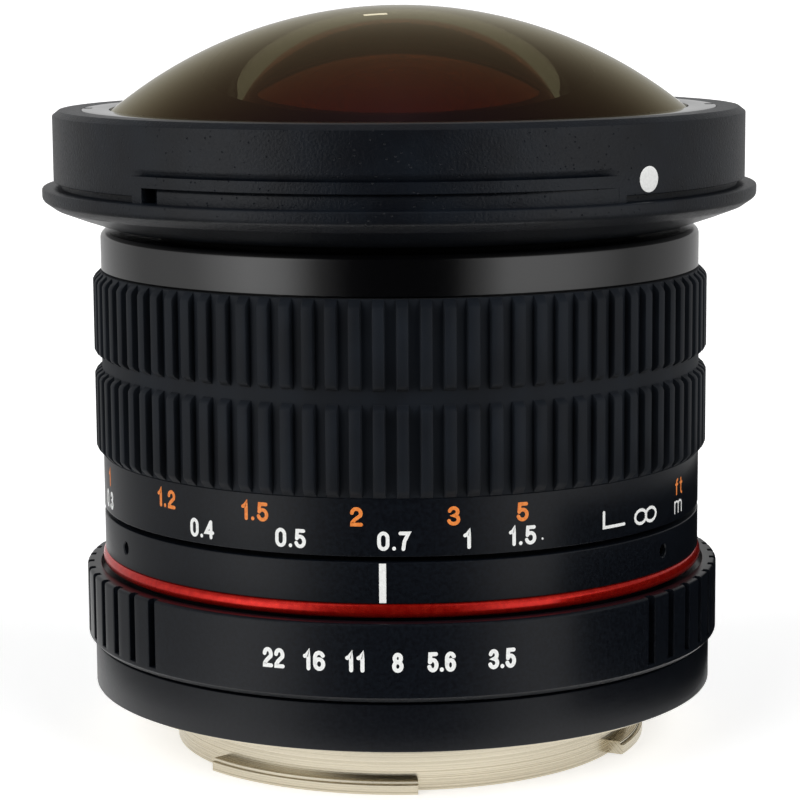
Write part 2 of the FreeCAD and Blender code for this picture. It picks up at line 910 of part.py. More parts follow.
# Lens cell: the helicoid barrel that every glass is carried by
front_screws, front_screw_holes = screw_set(
    (front_ring_bore + plate_radius) / 2, plate_bottom, plate_top + front_screw_bite,
    front_screw_azimuths, False,
)
cell_screws, cell_screw_holes = screw_set(
    (cell_bore_radius + front_cell_flange_radius) / 2, flange_face, plate_top - cell_screw_bite,
    cell_screw_azimuths, True,
)


def helicoid_barrel():
    barrel = turned([
        (cell_bore_radius, cell_bottom),
        (cell_radius, cell_bottom),
        (cell_radius, nut_bottom),
        (nut_thread_radius, nut_bottom),
        (nut_thread_radius, plate_bottom),
        (plate_radius, plate_bottom),
        (plate_radius, plate_top),
        (cell_bore_radius, plate_top),
    ])
    tracks = [
        radial_block(
            guide_inner_radius - key_reach - running_gap, cell_radius + overrun,
            key_width + 2 * running_gap, key_bottom - key_track_margin, nut_bottom, azimuth,
        )
        for azimuth in key_azimuths
    ]
    room = fork_sector(
        cell_bore_radius - overrun, cell_radius + overrun, tab_room_bottom, tab_room_top, tab_half_angle
    )
    return barrel.cut(tracks + [room, front_screw_holes, cell_screw_holes])


def front_ring():
    """Moulded ring round the dome. Its channels take the tabs of a hood, the same on both sides."""
    neck_inner = plate_radius + seating_gap
    ring = turned([
        (neck_inner, front_bottom),
        (front_neck_radius, front_bottom),
        (front_slope_radius, front_bottom + front_slope_rise),
        (hood_seat_radius, front_bottom + front_flare_rise),
        (hood_flange_radius - hood_flange_edge, hood_flange_bottom),
        (hood_flange_radius, hood_flange_bottom + hood_flange_edge),
        (hood_flange_radius, hood_flange_top - hood_flange_edge),
        (hood_flange_radius - hood_flange_edge, hood_flange_top),
        (hood_seat_radius, hood_flange_top),
        (hood_seat_radius, hood_seat_top),
        (hood_seat_radius - front_chamfer_width, front_top),
        (retainer_radius + seating_gap, front_top),
        (retainer_radius + seating_gap, retainer_bottom),
        (dome_edge_radius + seating_gap + front_seal_width, retainer_bottom),
        (dome_edge_radius + seating_gap + front_seal_width, seal_bottom),
        (dome_edge_radius + seating_gap, seal_bottom),
        (dome_edge_radius + seating_gap, dome_land),
        (front_ring_bore, dome_land),
        (front_ring_bore, plate_top),
        (neck_inner, plate_top),
    ])
    outside = hood_seat_radius + overrun
    lip_line_top = hood_flange_top + hood_channel_height + lip_line_drop + lip_line_height
    cuts = [front_screw_holes]
    for half_turn in (0, 180):
        cuts.append(band(
            hood_seat_radius - hood_channel_depth, outside, hood_flange_top,
            hood_flange_top + hood_channel_height, hood_channel_start + half_turn, hood_channel_sweep,
        ))
        cuts.append(band(
            hood_seat_radius - lip_line_depth, outside, lip_line_top - lip_line_height,
            lip_line_top, lip_line_start + half_turn, lip_line_sweep,
        ))
        cuts.append(band(
            hood_seat_radius - lock_window_depth, outside, hood_flange_top,
            hood_flange_top + lock_window_height, hood_channel_start + half_turn, lock_window_sweep,
        ))
        cuts.append(band(
            hood_seat_radius - lip_line_depth, outside, hood_flange_top,
            hood_flange_top + foot_line_height, foot_line_start + half_turn, foot_line_sweep,
        ))
    return ring.cut(cuts)


def front_element():
    sag = dome_hollow_curve - math.sqrt(dome_hollow_curve ** 2 - dome_hollow_radius ** 2)
    front_sag = dome_centre + dome_curve_radius - dome_edge
    return glass(dome_edge_radius, dome_land, sag, dome_edge, front_sag, hollow=dome_hollow_radius)


def notched(ring, circle, bottom, top):
    """The ring with two notches for a pin spanner, at its edge on that circle."""
    inner = circle - notch_reach
    outer = circle + notch_reach
    return ring.cut([radial_block(inner, outer, notch_width, bottom, top, azimuth) for azimuth in (90, 270)])


def front_retainer():
    over_glass = dome_centre + math.sqrt(dome_curve_radius ** 2 - retainer_inner_radius ** 2)
    ring = turned([
        (retainer_inner_radius, over_glass + seating_gap),
        (dome_edge_radius + seating_gap, dome_edge + seating_gap),
        (dome_edge_radius + seating_gap, retainer_bottom),
        (retainer_radius, retainer_bottom),
        (retainer_radius, front_top),
        (retainer_inner_radius, front_top),
    ])
    return notched(ring, retainer_radius, front_top - notch_depth, front_top + overrun)


def front_seal():
    return band(
        dome_edge_radius + seating_gap, dome_edge_radius + seating_gap + front_seal_width,
        seal_bottom, retainer_bottom,
    )


def front_cell():
    """Cup for the second glass on a narrower tube for the glasses behind it."""
    middle_bore = middle_radius + seating_gap
    cup_bore = second_radius + seating_gap
    cup_top = second_front_edge + second_retainer_height
    cell = turned([
        (middle_bore, front_cell_bottom),
        (front_cell_radius, front_cell_bottom),
        (front_cell_radius, plate_top - front_cell_land),
        (stack_radius, plate_top - front_cell_land),
        (stack_radius, plate_top),
        (front_cell_flange_radius, plate_top),
        (front_cell_flange_radius, flange_face),
        (cup_radius, flange_face),
        (cup_radius, cup_top),
        (cup_bore, cup_top),
        (cup_bore, second_land),
        (second_hollow_radius, second_land),
        (middle_radius - cup_floor_lip, third_front_edge),
        (middle_bore, third_front_edge),
    ])
    return cell.cut(cell_screw_holes)


def second_retainer():
    """Threaded ring above the edge of the second glass."""
    inner = second_radius - second_retainer_lip
    curve = (second_radius ** 2 + second_front_sag ** 2) / (2 * second_front_sag)
    centre = second_front_edge + second_front_sag - curve
    rise = centre + math.sqrt(curve ** 2 - inner ** 2)
    return turned([
        (inner, rise + seating_gap),
        (second_radius, second_front_edge + seating_gap),
        (second_radius, second_front_edge + second_retainer_height),
        (inner, second_front_edge + second_retainer_height),
    ])


# The smaller glasses, and the stop rings between them, which are cut to the glasses' curves
glasses = {
    "second_element": glass(
        second_radius, second_land, second_hollow_sag, second_front_edge, second_front_sag,
        hollow=second_hollow_radius,
    ),
    "third_element": glass(
        middle_radius, third_rear_edge, third_rear_sag, third_front_edge, third_front_sag
    ),
    "fourth_element": glass(
        middle_radius, front_joint_edge, front_joint_sag, fourth_front_edge, fourth_front_sag
    ),
    "fifth_element": glass(
        middle_radius, fifth_rear_edge, fifth_rear_sag, front_joint_edge, front_joint_sag
    ),
    "sixth_element": glass(
        rear_radius, sixth_rear_edge, sixth_rear_sag, sixth_front_edge, sixth_front_sag
    ),
    "seventh_element": glass(
        rear_radius, middle_joint_edge, middle_joint_sag, seventh_front_edge, seventh_front_sag
    ),
    "eighth_element": glass(
        rear_radius, eighth_rear_edge, eighth_rear_sag, middle_joint_edge, middle_joint_sag
    ),
    "ninth_element": glass(
        rear_radius, rear_joint_edge, rear_joint_sag, ninth_front_edge, ninth_front_sag
    ),
    "tenth_element": glass(
        rear_radius, tenth_rear_edge, tenth_rear_sag, rear_joint_edge, rear_joint_sag
    ),
}


def stop_ring(radius, bottom, top, spanner=False):
    """Ring between or behind glasses of one radius. The outermost has spanner notches."""
    ring = band(radius - stop_width, radius, bottom, top).cut(list(glasses.values()))
    if spanner:
        ring = notched(ring, radius - stop_width, bottom - overrun, bottom + notch_depth)
    return ring


# Iris: a housing with six pivot holes, six blades stacked in a spiral and a slotted cam ring
def pivot_of(blade):
    """Azimuth, from the +X side, of a blade's pivot."""
    return 360 * blade / blade_count


def drive_point(turn_of_ring):
    """Where the first blade's drive pin is when the ring has turned this far from wide open."""
    swing = math.radians(blade_ratio * turn_of_ring)
    return FreeCAD.Vector(
        blade_pivot_circle + drive_lever * math.sin(swing), -drive_lever * math.cos(swing), 0
    )


def iris_blade(number):
    """Crescent with a pivot pin below and a drive pin above, swung to its place in the photo."""
    bottom = blades_bottom + number * blade_pitch
    top = bottom + blade_thickness
    leaf = band(blade_inner_radius, blade_outer_radius, bottom, top, 90, blade_sweep)
    drive = drive_point(0)
    pads = [
        post(blade_pad_radius, bottom, top, blade_pivot_circle, 0),
        post(blade_pad_radius, bottom, top, drive.x, drive.y),
    ]
    lever = Part.makeBox(
        2 * blade_pad_radius, drive_lever, blade_thickness,
        FreeCAD.Vector(blade_pivot_circle - blade_pad_radius, -drive_lever, bottom),
    )
    root_width = blade_pivot_circle - blade_inner_radius - blade_root_inset
    root = Part.makeBox(
        root_width, 2 * blade_pad_radius, blade_thickness,
        FreeCAD.Vector(blade_pivot_circle - root_width, -blade_pad_radius, bottom),
    )
    pivot_pin = post(pivot_pin_radius, iris_bottom, top, blade_pivot_circle, 0)
    drive_pin = post(drive_pin_radius, bottom, rotor_top, drive.x, drive.y)
    blade = joined([leaf] + pads + [lever, root, pivot_pin, drive_pin])
    pivot = FreeCAD.Vector(blade_pivot_circle, 0, 0)
    blade.rotate(pivot, optical_axis, blade_ratio * aperture_to_open)
    blade.rotate(origin, optical_axis, pivot_of(number))
    return blade


def iris_rotor():
    """Cam ring. Each slot follows a blade's drive pin as the ring and the blade turn together."""
    ring = band(rotor_inner_radius, iris_bore_radius - running_gap, rotor_bottom, rotor_top)
    tab = radial_block(
        rotor_inner_radius + overrun, tab_reach, tab_width, rotor_bottom, rotor_top, fork_azimuth
    )
    path = []
    for turn_of_ring in (-travel_margin, aperture_travel / 2, aperture_travel + travel_margin):
        point = drive_point(turn_of_ring)
        spin = FreeCAD.Rotation(optical_axis, aperture_to_open - turn_of_ring)
        path.append(spin.multVec(point))
    slot = slot_along(path, drive_pin_radius + running_gap, rotor_bottom - overrun, rotor_top + overrun)
    return joined([ring, tab]).cut(round_the_axis(slot, blade_count))


def iris_housing():
    housing = turned([
        (iris_window_radius, iris_bottom),
        (stack_radius, iris_bottom),
        (stack_radius, iris_top),
        (iris_bore_radius, iris_top),
        (iris_bore_radius, iris_bottom + iris_floor),
        (iris_window_radius, iris_bottom + iris_floor),
    ])
    hole = post(pivot_pin_radius + running_gap, iris_bottom - overrun, iris_top, blade_pivot_circle, 0)
    room = fork_sector(
        iris_bore_radius - overrun, stack_radius + overrun,
        tab_room_bottom, iris_top + overrun, tab_half_angle,
    )
    return housing.cut(round_the_axis(hole, blade_count) + [room])


# Rear cell with its glasses, clamped under the iris by a lock ring
def rear_cell():
    bore = rear_radius + seating_gap
    cell = turned([
        (bore, rear_cell_bottom),
        (rear_cell_radius, rear_cell_bottom),
        (rear_cell_radius, iris_bottom - rear_cell_land),
        (stack_radius, iris_bottom - rear_cell_land),
        (stack_radius, iris_bottom),
        (rear_radius - rear_cell_lip, iris_bottom),
        (rear_radius - rear_cell_lip, sixth_front_edge),
        (bore, sixth_front_edge),
    ])
    return cell.cut(glasses["sixth_element"])


def rear_lock_ring():
    bottom = lock_ring_top - rear_lock_height
    ring = band(rear_lock_inner_radius, stack_radius, bottom, lock_ring_top)
    return notched(ring, rear_lock_inner_radius, bottom - overrun, bottom + notch_depth)


pieces = {
    "mount_ring": mount_ring(),
    "mount_screws": mount_screws,
    "rear_baffle": rear_baffle(),
    "rear_shell": rear_shell(),
    "guide_barrel": guide_barrel(),
    "index_barrel": index_barrel(),
    "barrel_screws": barrel_screws,
    "red_ring": red_ring(),
    "set_screws": set_screws(),
    "guide_keys": guide_keys(),
    "focus_stop_pin": focus_stop_pin(),
    "detent_ball": detent_ball(),
    "detent_spring": detent_spring(),
    "focus_sleeve": focus_sleeve(),
    "rubber_grip": rubber_grip(),
    "front_collar": front_collar(),
    "aperture_ring": aperture_ring(),
    "aperture_fork": aperture_fork(),
    "fork_screws": fork_screws,
    "helicoid_barrel": helicoid_barrel(),
    "front_ring": front_ring(),
    "front_ring_screws": front_screws,
    "front_element": front_element(),
    "front_retainer": front_retainer(),
    "front_seal": front_seal(),
    "front_cell": front_cell(),
    "cell_screws": cell_screws,
    "second_retainer": second_retainer(),
    "front_spacer": stop_ring(middle_radius, fourth_front_edge, third_rear_edge),
    "front_group_retainer": stop_ring(middle_radius, group_ring_bottom, fifth_rear_edge, spanner=True),
    "clamp_tube": band(
        stack_radius - clamp_wall, stack_radius, iris_cover_top, plate_top - front_cell_land
    ),
    "iris_cover": band(iris_cover_window, stack_radius, iris_top, iris_cover_top),
    "iris_housing": iris_housing(),
    "rear_cell": rear_cell(),
    "rear_lock_ring": rear_lock_ring(),
    "middle_spacer": stop_ring(rear_radius, seventh_front_edge, sixth_rear_edge),
    "rear_spacer": stop_ring(rear_radius, ninth_front_edge, eighth_rear_edge),
    "rear_retainer": stop_ring(rear_radius, rear_cell_bottom, tenth_rear_edge, spanner=True),
    "iris_rotor": iris_rotor(),
}
pieces.update(glasses)
for number in range(blade_count):
    pieces[f"iris_blade_{number + 1}"] = iris_blade(number)

os.makedirs("parts", exist_ok=True)
for name, shape in pieces.items():
    shape.exportStep(f"parts/{name}.step")
print(f"blade ratio {blade_ratio:.6f} over {aperture_travel:.2f} degrees of the ring")
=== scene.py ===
import math
import bpy
import bmesh
from mathutils import Matrix, Vector


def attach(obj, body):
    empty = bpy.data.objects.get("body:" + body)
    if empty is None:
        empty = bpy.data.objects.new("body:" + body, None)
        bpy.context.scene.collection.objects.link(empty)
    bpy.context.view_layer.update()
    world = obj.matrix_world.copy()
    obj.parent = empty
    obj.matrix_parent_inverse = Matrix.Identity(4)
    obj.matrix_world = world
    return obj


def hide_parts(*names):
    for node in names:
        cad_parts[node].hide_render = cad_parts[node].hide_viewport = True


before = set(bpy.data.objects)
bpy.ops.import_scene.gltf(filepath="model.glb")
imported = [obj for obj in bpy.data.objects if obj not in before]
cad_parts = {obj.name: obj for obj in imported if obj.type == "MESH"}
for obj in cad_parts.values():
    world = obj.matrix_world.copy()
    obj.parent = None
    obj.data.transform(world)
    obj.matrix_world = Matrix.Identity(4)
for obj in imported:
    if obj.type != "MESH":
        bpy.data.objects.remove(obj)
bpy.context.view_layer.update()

# Bayonet ring: one brass turning with the seat flange above and three lugs round its foot. It is
# nickel plated over the tool marks, so they stretch every reflection up and down. Four screws hold it.
# Heights are in mm forward of its seat, and azimuths are 0 at the index side and grow to the right.


def rounded(corners, steps=4):
    """Profile from corners of (radius, height, rounding), with each rounding drawn as an arc."""
    profile = []
    for k, (radius, height, rounding) in enumerate(corners):
        corner = Vector((radius, height))
        if not rounding:
            profile.append(tuple(corner))
            continue
        back = (Vector(corners[k - 1][:2]) - corner).normalized()
        on = (Vector(corners[(k + 1) % len(corners)][:2]) - corner).normalized()
        half = back.angle(on) / 2
        centre = corner + (back + on).normalized() * rounding / math.sin(half)
        first = corner + back * rounding / math.tan(half) - centre
        last = corner + on * rounding / math.tan(half) - centre
        profile += [tuple(centre + first.slerp(last, step / steps) * rounding) for step in range(steps + 1)]
    return profile


throat_radius, spigot_radius, lug_radius, seat_radius = 22.4, 25.1, 26.8, 32.5
lug_gaps = [(3.0, 59.0), (114.0, 66.0), (236.0, 74.5)]
lug_top, lug_lip = -4.5, 0.12
mount_profile = rounded([
    (throat_radius, -5.9, 0.15),
    (lug_radius, -5.9, 0.15),
    (lug_radius, lug_top - 0.35, 0.05),
    (lug_radius - 0.35, lug_top - 0.35, 0.05),
    (lug_radius - 0.35, lug_top, 0.08),
    (spigot_radius, lug_top, 0),
    (spigot_radius, -2.05, 0),
    (spigot_radius - 0.07, -1.98, 0),
    (spigot_radius - 0.07, -1.92, 0),
    (spigot_radius, -1.85, 0),
    (spigot_radius, 0.3, 0),
    (27.1, 0.3, 0),
    (27.1, 0.0, 0.05),
    (seat_radius, 0.0, 0.12),
    (seat_radius, 2.0, 0),
    (21.5, 2.0, 0),
    (21.5, 1.3, 0.1),
    (throat_radius, 1.3, 0),
])
# Lean of the wall of every cut, in mm
cut_wall = 0.02


def edge_offsets(lip):
    """Distances into a cut at which its rounded lip and its wall are drawn."""
    return [-lip, -0.617 * lip, -0.293 * lip, -0.076 * lip, 0.0, cut_wall]


def depth_at(into, depth, lip):
    """Depth of a cut at a distance into it, with a rounded lip outside its edge."""
    if into <= -lip:
        return 0.0
    if into <= 0:
        return lip - math.sqrt(lip ** 2 - (into + lip) ** 2)
    return depth if into >= cut_wall else lip + (depth - lip) * into / cut_wall


def arc_into(azimuth, start, sweep, radius):
    """Distance in mm from the nearer end of an arc, positive inside it."""
    off = abs((azimuth - start - sweep / 2 + 180) % 360 - 180)
    return math.radians(sweep / 2 - off) * radius


def between_lugs(azimuth, radius, height):
    """Point of the mount's profile, moved in to the spigot where a gap is."""
    if height > lug_top + 0.001 or radius <= spigot_radius:
        return radius, height
    reach = lug_radius - spigot_radius
    cut = max(depth_at(arc_into(azimuth, *gap, lug_radius), reach, lug_lip) for gap in lug_gaps)
    return max(spigot_radius, min(radius, lug_radius - cut)), height


# Sizes are in mm, and Blender's are in metres
mm = 0.001


def linear(code):
    """Linear colour from an sRGB hex value."""
    shares = [int(code[k:k + 2], 16) / 255 for k in (1, 3, 5)]
    return [s / 12.92 if s <= 0.04045 else ((s + 0.055) / 1.055) ** 2.4 for s in shares] + [1.0]


def feed(node, inputs):
    """Sets inputs of a node to a value, or links them to a socket or to another node's first output."""
    for name, value in inputs.items():
        if isinstance(value, bpy.types.Node):
            value = value.outputs[0]
        if isinstance(value, bpy.types.NodeSocket):
            node.id_data.links.new(value, node.inputs[name])
        else:
            node.inputs[name].default_value = value


def add(tree, kind, inputs=(), stops=(), **settings):
    """Node with its inputs, its settings and, for a colour ramp, its stops of (place, colour)."""
    node = tree.nodes.new(kind)
    for name, value in settings.items():
        setattr(node, name, value)
    feed(node, dict(inputs))
    for k, (spot, colour) in enumerate(stops):
        stop = node.color_ramp.elements[k] if k < 2 else node.color_ramp.elements.new(1.0)
        stop.position = spot
        stop.color = colour
    return node


def surface(name, inputs):
    """Material with one Principled shader, and its tree, shader and place on the object in metres."""
    material = bpy.data.materials.new(name)
    material.use_nodes = True
    tree = material.node_tree
    tree.nodes.clear()
    shader = add(tree, "ShaderNodeBsdfPrincipled", inputs)
    add(tree, "ShaderNodeOutputMaterial", {"Surface": shader})
    where = add(tree, "ShaderNodeTexCoord").outputs["Object"]
    return material, tree, shader, where


def tool_marks(tree, where, spacing):
    """Pattern of rings round the axis, as a lathe tool leaves them, for a spacing in mm."""
    parts = add(tree, "ShaderNodeSeparateXYZ", {0: where})
    flat = add(tree, "ShaderNodeVectorMath", {0: where, 1: (1, 1, 0)}, operation="MULTIPLY")
    radius = add(tree, "ShaderNodeVectorMath", {0: flat}, operation="LENGTH")
    across = add(tree, "ShaderNodeMath", {0: radius.outputs["Value"], 1: parts.outputs["Z"]}, operation="ADD")
    return add(
        tree, "ShaderNodeTexNoise",
        {"W": across, "Scale": 1000 / spacing, "Detail": 2.0, "Roughness": 0.7}, noise_dimensions="1D",
    )


# Brass, nickel plated after turning: a warm grey metal. The marks are really 0.05 mm apart and are
# drawn at 0.16 mm, the finest that shows.
turned_nickel, tree, shader, where = surface(
    "turned_nickel_plated_brass", {"Metallic": 1.0, "Roughness": 0.3, "Anisotropic": 0.6}
)
round_axis = add(tree, "ShaderNodeTangent", direction_type="RADIAL", axis="Z")
marks = tool_marks(tree, where, 0.16)
stops = [(0.3, linear("#B4AB96")), (0.7, linear("#DAD2BF"))]
tint = add(tree, "ShaderNodeValToRGB", {"Fac": marks}, stops=stops)
gloss = add(tree, "ShaderNodeMapRange", {0: marks, 3: 0.18, 4: 0.34})
ridges = add(tree, "ShaderNodeBump", {"Height": marks, "Distance": 0.004 * mm, "Strength": 0.5})
feed(shader, {"Base Color": tint, "Roughness": gloss, "Normal": ridges, "Tangent": round_axis})


def place(radius, azimuth, height):
    """Point in metres from a radius and a height in mm."""
    turn = math.radians(azimuth)
    return Vector((radius * math.sin(turn), -radius * math.cos(turn), height)) * mm


# Edges with a greater angle stay crisp
sharp_edge = math.radians(34)


def solid(name, shape, *finishes):
    """Object from a finished shape, merged, facing outwards and smooth but for its real edges."""
    bmesh.ops.remove_doubles(shape, verts=shape.verts, dist=2e-7)
    bmesh.ops.dissolve_degenerate(shape, edges=shape.edges, dist=1e-7)
    bmesh.ops.recalc_face_normals(shape, faces=shape.faces)
    mesh = bpy.data.meshes.new(name)
    shape.to_mesh(mesh)
    shape.free()
    mesh.shade_smooth()
    mesh.set_sharp_from_angle(angle=sharp_edge)
    for finish in finishes:
        mesh.materials.append(finish)
    piece = bpy.data.objects.new(name, mesh)
    bpy.context.scene.collection.objects.link(piece)
    return piece


def even_turn(count):
    return [360 * k / count for k in range(count)]


def azimuths_for(arcs, radius, lip, count=256):
    """Azimuths that draw the round and both ends of each arc of (start, sweep)."""
    azimuths = set(even_turn(count))
    for start, sweep in arcs:
        for offset in edge_offsets(lip):
            step = math.degrees(offset / radius)
            azimuths |= {(start + step) % 360, (start + sweep - step) % 360}
    return sorted(azimuths)


def turned(name, profile, finish, azimuths=even_turn(256), carve=None):
    """Ring from a closed profile carried round the axis. carve may move a profile point at an azimuth."""
    shape = bmesh.new()
    rows = []
    for azimuth in azimuths:
        points = [carve(azimuth, *point) if carve else point for point in profile]
        rows.append([shape.verts.new(place(radius, azimuth, height)) for radius, height in points])
    for k, row in enumerate(rows):
        last = rows[k - 1]
        for j in range(len(row)):
            shape.faces.new((last[j - 1], last[j], row[j], row[j - 1]))
    return solid(name, shape, finish)


mount = turned(
    "bayonet_ring", mount_profile, turned_nickel,
    azimuths_for(lug_gaps, lug_radius, lug_lip), between_lugs,
)


def settled(piece, modifier):
    """Keeps what a modifier makes of a piece as the piece's own mesh."""
    depsgraph = bpy.context.evaluated_depsgraph_get()
    mesh = bpy.data.meshes.new_from_object(piece.evaluated_get(depsgraph))
    piece.modifiers.remove(modifier)
    piece.data = mesh


def bored(piece, cutter):
    """Cuts one shape out of a piece for good."""
    cut = piece.modifiers.new("bore", "BOOLEAN")
    cut.object = cutter
    cut.solver = "EXACT"
    settled(piece, cut)
    piece.data.set_sharp_from_angle(angle=sharp_edge)
    bpy.data.objects.remove(cutter)


def lofted(shape, rings, ends=(0, -1)):
    """Skin from one closed ring of points to the next, with a face over the first and the last of them."""
    rows = [[shape.verts.new(point) for point in ring] for ring in rings]
    for near, far in zip(rows, rows[1:]):
        for k in range(len(near)):
            shape.faces.new((near[k - 1], near[k], far[k], far[k - 1]))
    for end in ends:
        shape.faces.new(rows[end])


# Countersinks of the four screws, and the slot that the camera's lock pin drops into. Their cutters
# start below the seat.
cutter_start, screw_middle, head_radius, shank_radius = -0.5, 29.8, 1.55, 0.9
lock_azimuth, lock_depth = 150.0, 1.2
lock_corners = [(28.5, -1.1), (31.1, -1.1), (31.1, 1.1), (28.5, 1.1)]
countersink = [(head_radius, cutter_start), (head_radius, 0.05), (shank_radius, 0.8), (shank_radius, 2.5)]
shape = bmesh.new()
for azimuth in (45, 135, 225, 315):
    rings = []
    for reach, height in countersink:
        middle = place(screw_middle, azimuth, height)
        rings.append([middle + place(reach, turn, 0) for turn in even_turn(32)])
    lofted(shape, rings)
out = place(1, lock_azimuth, 0)
side = Vector((0, 0, 1)).cross(out)
rings = []
for height in (cutter_start, lock_depth):
    rings.append([out * reach + side * aside + place(0, 0, height) for reach, aside in lock_corners])
lofted(shape, rings)
bored(mount, solid("mount_cuts", shape, turned_nickel))


def fit(piece, body, slot, *nodes):
    """Puts a finished piece on its body, in place of the plain solids that it stands for."""
    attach(piece, body)
    if nodes:
        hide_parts(*nodes)


fit(mount, "barrel", "mount_metal", "mount_ring")


# Screws, ball and stop pin of the inside: small turned parts of steel, zinc plated against rust. They
# keep their solids.
def refinish(finish, *nodes):
    """Gives solids that keep their shape their finish."""
    for node in nodes:
        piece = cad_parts[node]
        piece.data.materials.clear()
        piece.data.materials.append(finish)


def mottled(name, inputs, size, detail, spread, dark, light, shine=None, relief=None):
    """Material that drifts between two colours in spots of a size in mm. Its roughness may drift with them
    over a range, and its surface may rise with them by a depth in mm, at a strength."""
    material, tree, shader, where = surface(name, inputs)
    spots = add(tree, "ShaderNodeTexNoise", {"Vector": where, "Scale": 1000 / size, "Detail": detail})
    stops = [(spread, linear(dark)), (1 - spread, linear(light))]
    tint = add(tree, "ShaderNodeValToRGB", {"Fac": spots}, stops=stops)
    feed(shader, {"Base Color": tint})
    if shine:
        low, high = shine
        feed(shader, {"Roughness": add(tree, "ShaderNodeMapRange", {0: spots, 3: low, 4: high})})
    if relief:
        height = {"Height": spots, "Distance": relief[0] * mm, "Strength": relief[1]}
        feed(shader, {"Normal": add(tree, "ShaderNodeBump", height)})
    return material, tree, shader, where, spots


# Zinc on steel: a cool grey metal, a little cloudy where the plating bath left it uneven.
zinc_steel = mottled(
    "zinc_plated_steel", {"Metallic": 1.0}, 0.8, 3.0, 0.3, "#A9ABAD", "#C4C6C8", (0.25, 0.4),
)[0]
refinish(
    zinc_steel, "mount_screws", "barrel_screws", "fork_screws", "front_ring_screws", "cell_screws",
    "detent_ball", "focus_stop_pin",
)


def grained(name, lines, dark, light, low, high):
    """Bare metal with a straight grain, from the number of its lines in a metre along each axis."""
    metal, tree, shader, where = surface(name, {"Metallic": 1.0})
    drawn = add(tree, "ShaderNodeMapping", {"Vector": where, "Scale": lines})
    grain = add(tree, "ShaderNodeTexNoise", {"Vector": drawn, "Scale": 1.0, "Detail": 4.0})
    stops = [(0.3, linear(dark)), (0.7, linear(light))]
    tint = add(tree, "ShaderNodeValToRGB", {"Fac": grain}, stops=stops)
    gloss = add(tree, "ShaderNodeMapRange", {0: grain, 3: low, 4: high})
    feed(shader, {"Base Color": tint, "Roughness": gloss})
    return metal


# Leaf of the click stop: a rolled strip of spring steel, with the straight grain of its rolling.
spring_strip = grained("rolled_spring_steel", (200, 200, 9000), "#8E9196", "#A8ABB0", 0.2, 0.35)
refinish(spring_strip, "detent_spring")

# Guide keys: sawn and milled from plain brass bar, so the faces keep a fine straight grain.
milled_brass = grained("milled_brass", (6000, 6000, 300), "#B4944F", "#CDB06B", 0.25, 0.45)
refinish(milled_brass, "guide_keys")


# Barrels and cells of the inside, and the light baffle: aluminium turnings, anodised matt black so
# that no stray light comes back. They keep their solids.
def black_anodise(name, dark, light, low, high, spacing, depth, index=1.5, specular=0.33):
    """Black anodised aluminium: the dyed oxide is a dull dielectric skin over the lathe's rings, with a
    roughness between low and high and rings of a spacing and a depth in mm."""
    inputs = {"IOR": index, "Specular IOR Level": specular}
    finish, tree, shader, where, spots = mottled(name, inputs, 0.35, 3.0, 0.35, dark, light, (low, high))
    marks = tool_marks(tree, where, spacing)
    both = add(tree, "ShaderNodeMath", {0: marks, 1: spots}, operation="ADD")
    ridges = add(tree, "ShaderNodeBump", {"Height": both, "Distance": depth * mm, "Strength": 0.6})
    feed(shader, {"Normal": ridges})
    return finish


inner_black = black_anodise(
    "matt_black_anodised_aluminium", "#101113", "#16171A", low=0.55, high=0.7, spacing=0.3, depth=0.01,
)
refinish(
    inner_black, "rear_baffle", "guide_barrel", "aperture_fork", "helicoid_barrel", "front_cell",
    "second_retainer", "front_spacer", "front_group_retainer", "clamp_tube", "iris_cover", "iris_housing",
    "rear_cell", "rear_lock_ring", "middle_spacer", "rear_spacer", "rear_retainer",
)

# Rear shell: the lowest black ring, a turned aluminium cup that the mount and both fixed barrels
# are screwed to. Its outside is bead blasted and anodised, which gives a soft even sheen.
blasted_black = black_anodise(
    "blasted_black_anodised_aluminium", "#080A0F", "#0E1116",
    low=0.32, high=0.42, spacing=0.4, depth=0.005,
)
rear_shell = turned("rear_shell_ring", rounded([
    (22.48, 2.0, 0),
    (32.55, 2.0, 0),
    (32.55, 0.7, 0.1),
    (34.0, 0.7, 0.15),
    (34.0, 5.6, 0.12),
    (30.58, 5.6, 0.1),
    (30.58, 4.0, 0),
    (22.48, 4.0, 0),
]), blasted_black)
fit(rear_shell, "barrel", "black_anodised", "rear_shell")

# Aperture ring: turned aluminium with grip grooves milled along it, all round but for a smooth
# window that carries the numbers. Its top rim stands proud of a dark recess next to the red bead.
ring_radius, ring_bottom, ring_top = 34.75, 5.95, 14.0
groove_width, groove_depth, groove_foot, groove_lip = 1.1, 0.75, 6.85, 0.1
groove_count, first_groove, groove_pitch = 45, 47.5, 6.0
groove_sweep = math.degrees(groove_width / ring_radius)
groove_azimuths = [first_groove + groove_pitch * k for k in range(groove_count)]
grooves = [(azimuth - groove_sweep / 2, groove_sweep) for azimuth in groove_azimuths]
outer_wall = [(ring_radius, groove_foot + offset, 0) for offset in edge_offsets(groove_lip)]
ring_profile = rounded([
    (33.18, ring_bottom, 0.1),
    (34.25, ring_bottom, 0.05),
    (ring_radius, ring_bottom + 0.5, 0.12),
] + outer_wall + [
    (ring_radius, ring_top, 0.38),
    (33.2, ring_top, 0.12),
    (33.2, 13.0, 0),
    (30.44, 13.0, 0.08),
    (30.44, 8.5, 0),
    (33.18, 8.5, 0),
])


